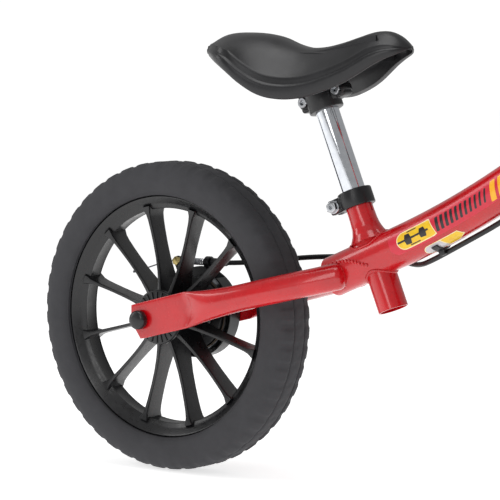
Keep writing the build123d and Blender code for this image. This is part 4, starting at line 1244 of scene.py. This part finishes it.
def makeBrakeCover():
    # pressed cover: stepped disc, rim with an opening for the cable, cable stop and the arm's stud
    shape = bmesh.new()
    outer, inside, plate = brake["cover"], brake["coverIn"], brake["coverOut"]
    disc = [(4.1, inside), (outer - 1.5, inside), (outer - 0.2, inside), (outer, inside + 0.4), (outer - 0.2, plate - 1),
            (outer - 1.2, plate - 0.1), (outer - 2.4, plate), (36, plate), (34.6, plate - 0.7), (30, plate - 0.7),
            (28.6, plate), (16, plate), (14.8, plate - 0.6), (4.1, plate - 0.6)]
    turnedAround(shape, disc, rearAxle, left, 144)
    start, end = brake["window"]
    profile = [(outer - 1.5, brake["rimStart"] + 0.3), (outer - 1.2, brake["rimStart"]), (outer - 0.3, brake["rimStart"]),
               (outer, brake["rimStart"] + 0.3), (outer, inside + 0.5), (outer - 1.5, inside + 0.5)]
    first = math.radians(end)
    out = Vector((math.cos(first), 0, math.sin(first)))
    face = shape.faces.new([shape.verts.new(rearAxle + (out * radius + left * along) * mm) for radius, along in profile])
    bmesh.ops.spin(shape, geom=[face] + list(face.verts) + list(face.edges), cent=rearAxle, axis=left,
                   angle=-(math.tau - math.radians(end - start)), steps=112, use_merge=False)
    line, side = cable["line"], cable["side"]
    addBox(shape, fromRear(8.5, side - 0.2, line - 4), (Vector((1, 0, 0)), left, Vector((0, 0, 1))), (6, 4, 14), 0.8)
    turnedAround(shape, [(3.1, -3), (5.6, -3), (6, -2.6), (6, 2.6), (5.6, 3), (3.1, 3)], fromRear(8.5, side, line),
                 Vector((1, 0, 0)), 48)
    pivot = fromRear(brake["arm"][0], 0, brake["arm"][1])
    bar(shape, pivot + left * 37.6 * mm, pivot + left * 46.5 * mm, 2.5, 32)
    for turn in range(6):
        angle = math.radians(30 + 60 * turn)
        spot = rearAxle + (Vector((math.cos(angle), 0, math.sin(angle))) * 22 + left * (plate - 0.2)) * mm
        turnedAround(shape, [(1.8, -0.3), (2.8, -0.3), (2.8, 0.5), (2.5, 0.8), (2.0, 0.8), (1.8, 0.5)], spot, left, 20)
    outward(shape)
    finishPiece("brakeCover", shape, "frame", "blackCoat", ("brake_cover",), 38)


makeBrakeCover()


def makeBrakeArm():
    shape = bmesh.new()
    thick = brake["armThick"]
    foot = Vector((brake["arm"][0], brake["arm"][1]))
    head = Vector((brake["anchor"], cable["line"]))
    middle, link = (foot + head) / 2, head - foot
    along, out = link.normalized(), Vector((link.y, -link.x)).normalized()
    outline = [middle + along * (x + link.length / 2 * (1 if x >= 0 else -1)) + out * y
               for x, y in rounder((0, 0), 5, -90, 90, 16) + rounder((-0.001, 0), 5, 90, 270, 16)]
    verts = [shape.verts.new(fromRear(point.x, brake["armIn"], point.y)) for point in outline]
    face = shape.faces.new(verts)
    raised = bmesh.ops.extrude_face_region(shape, geom=[face])["geom"]
    bmesh.ops.translate(shape, verts=[item for item in raised if isinstance(item, bmesh.types.BMVert)],
                        vec=left * thick * mm)
    outward(shape)
    bevelSharp(shape, 0.4, 60)
    addHex(shape, fromRear(foot.x, brake["armIn"] + thick, foot.y), left, 8, 2.6, 0.5)
    outward(shape)
    finishPiece("brakeArm", shape, "brake_arm", "blackCoat", ("brake_arm",), 35)
    shape = bmesh.new()
    anchor = fromRear(brake["anchor"], brake["armIn"], cable["line"])
    addHex(shape, anchor, -left, 8, 3.6, 0.6)
    front = anchor + left * thick * mm
    turnedAround(shape, [(0, 0), (4.2, 0), (4.4, 0.4), (4.4, 3.2), (4.0, 3.8), (2.2, 4.0), (1.9, 3.2), (0, 3.1)], front,
                 left, 40, False)
    outward(shape)
    finishPiece("cableAnchorBolt", shape, "brake_arm", "yellowZinc", ("cable_anchor_bolt",), 35)


makeBrakeArm()


def makeBrakeSpringAndWire():
    line, side, radius = cable["line"], cable["side"], 3.0
    turns, start, end = 8, -15.3, 2.1
    points = []
    for step in range(turns * 12 + 1):
        share = step / (turns * 12)
        angle = math.tau * turns * share
        far = start + (end - start) * (share + 0.03 * math.sin(math.tau * share))
        points.append(fromRear(far, side + radius * math.cos(angle), line + radius * math.sin(angle)))
    spring = tubeThrough("brakeSpring", points, 0.6, "steel", 3)
    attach(spring, "frame")
    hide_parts("brake_spring")
    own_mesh(spring)
    first, last = fromRear(-32.2, side, line), fromRear(2.5, side, line)
    wire = tubeThrough("brakeWire", [first, first.lerp(last, 0.5), last], cable["wire"], "steel", 3)
    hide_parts("brake_wire")
    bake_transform(wire)
    tail = [fromRear(-32, side, line), fromRear(-46, side, line - 2.2), fromRear(-60, side, line - 6.4),
            fromRear(-74, side, line - 11)]
    strand = tubeThrough("cableTail", tail, cable["wire"], "steel", 3)
    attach(strand, "brake_arm")
    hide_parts("cable_tail")
    shape = bmesh.new()
    way = (fromRear(-88, side, line - 14.7) - tail[-1]).normalized()
    turnedAround(shape, [(0, -1), (1.2, -1), (1.5, -0.5), (1.5, 5), (1.15, 5.6), (1.15, 7.4), (1.5, 8), (1.5, 13.6),
                         (1.2, 14.2), (0, 14.2)], tail[-1], way, 24, False)
    outward(shape)
    finishPiece("tailCrimp", shape, "brake_arm", "steel", (), 40)


makeBrakeSpringAndWire()


def makeAdjuster():
    # barrel adjuster with a fluted knob
    shape = bmesh.new()
    start = fromRear(0, cable["side"], cable["line"])
    forward = Vector((1, 0, 0))
    turnedAround(shape, [(1.1, 2.5), (2.7, 2.5), (3.0, 2.9), (3.0, 12.2), (1.1, 12.2)], start, forward, 40)
    mark = len(shape.verts)
    turnedAround(shape, [(1.1, 12), (4.1, 12), (4.6, 12.5), (4.6, 17.5), (4.1, 18), (3.6, 18.2), (3.6, 21.6), (3.2, 22),
                         (1.1, 22)], start, forward, 64)
    shape.verts.ensure_lookup_table()
    for vert in shape.verts[mark:]:
        out = vert.co - start
        far = out.dot(forward) / mm
        out.x = 0
        if 12.2 < far < 17.8 and out.length > 4 * mm:
            vert.co -= out.normalized() * (0.45 * (0.5 + 0.5 * math.cos(math.atan2(out.z, out.y) * 16))) * mm
    outward(shape)
    finishPiece("barrelAdjuster", shape, "frame", "blackCoat", ("barrel_adjuster",), 40)


makeAdjuster()


def makeDrum():
    shape = bmesh.new()
    outline = [(12, 28), (34.6, 28), (36, 28.6), (36, 42.2), (35.2, 43), (33.6, 43), (33, 42.4), (33, 30.8), (32, 30.4),
               (25, 30.4), (24, 31.4), (17, 31.4), (16, 30.4), (12, 30.4)]
    turnedAround(shape, outline, rearAxle, left, 128)
    outward(shape)
    finishPiece("brakeDrum", shape, "rear_wheel", "castBlack", ("brake_drum",), 35)


makeDrum()
print("brake made")
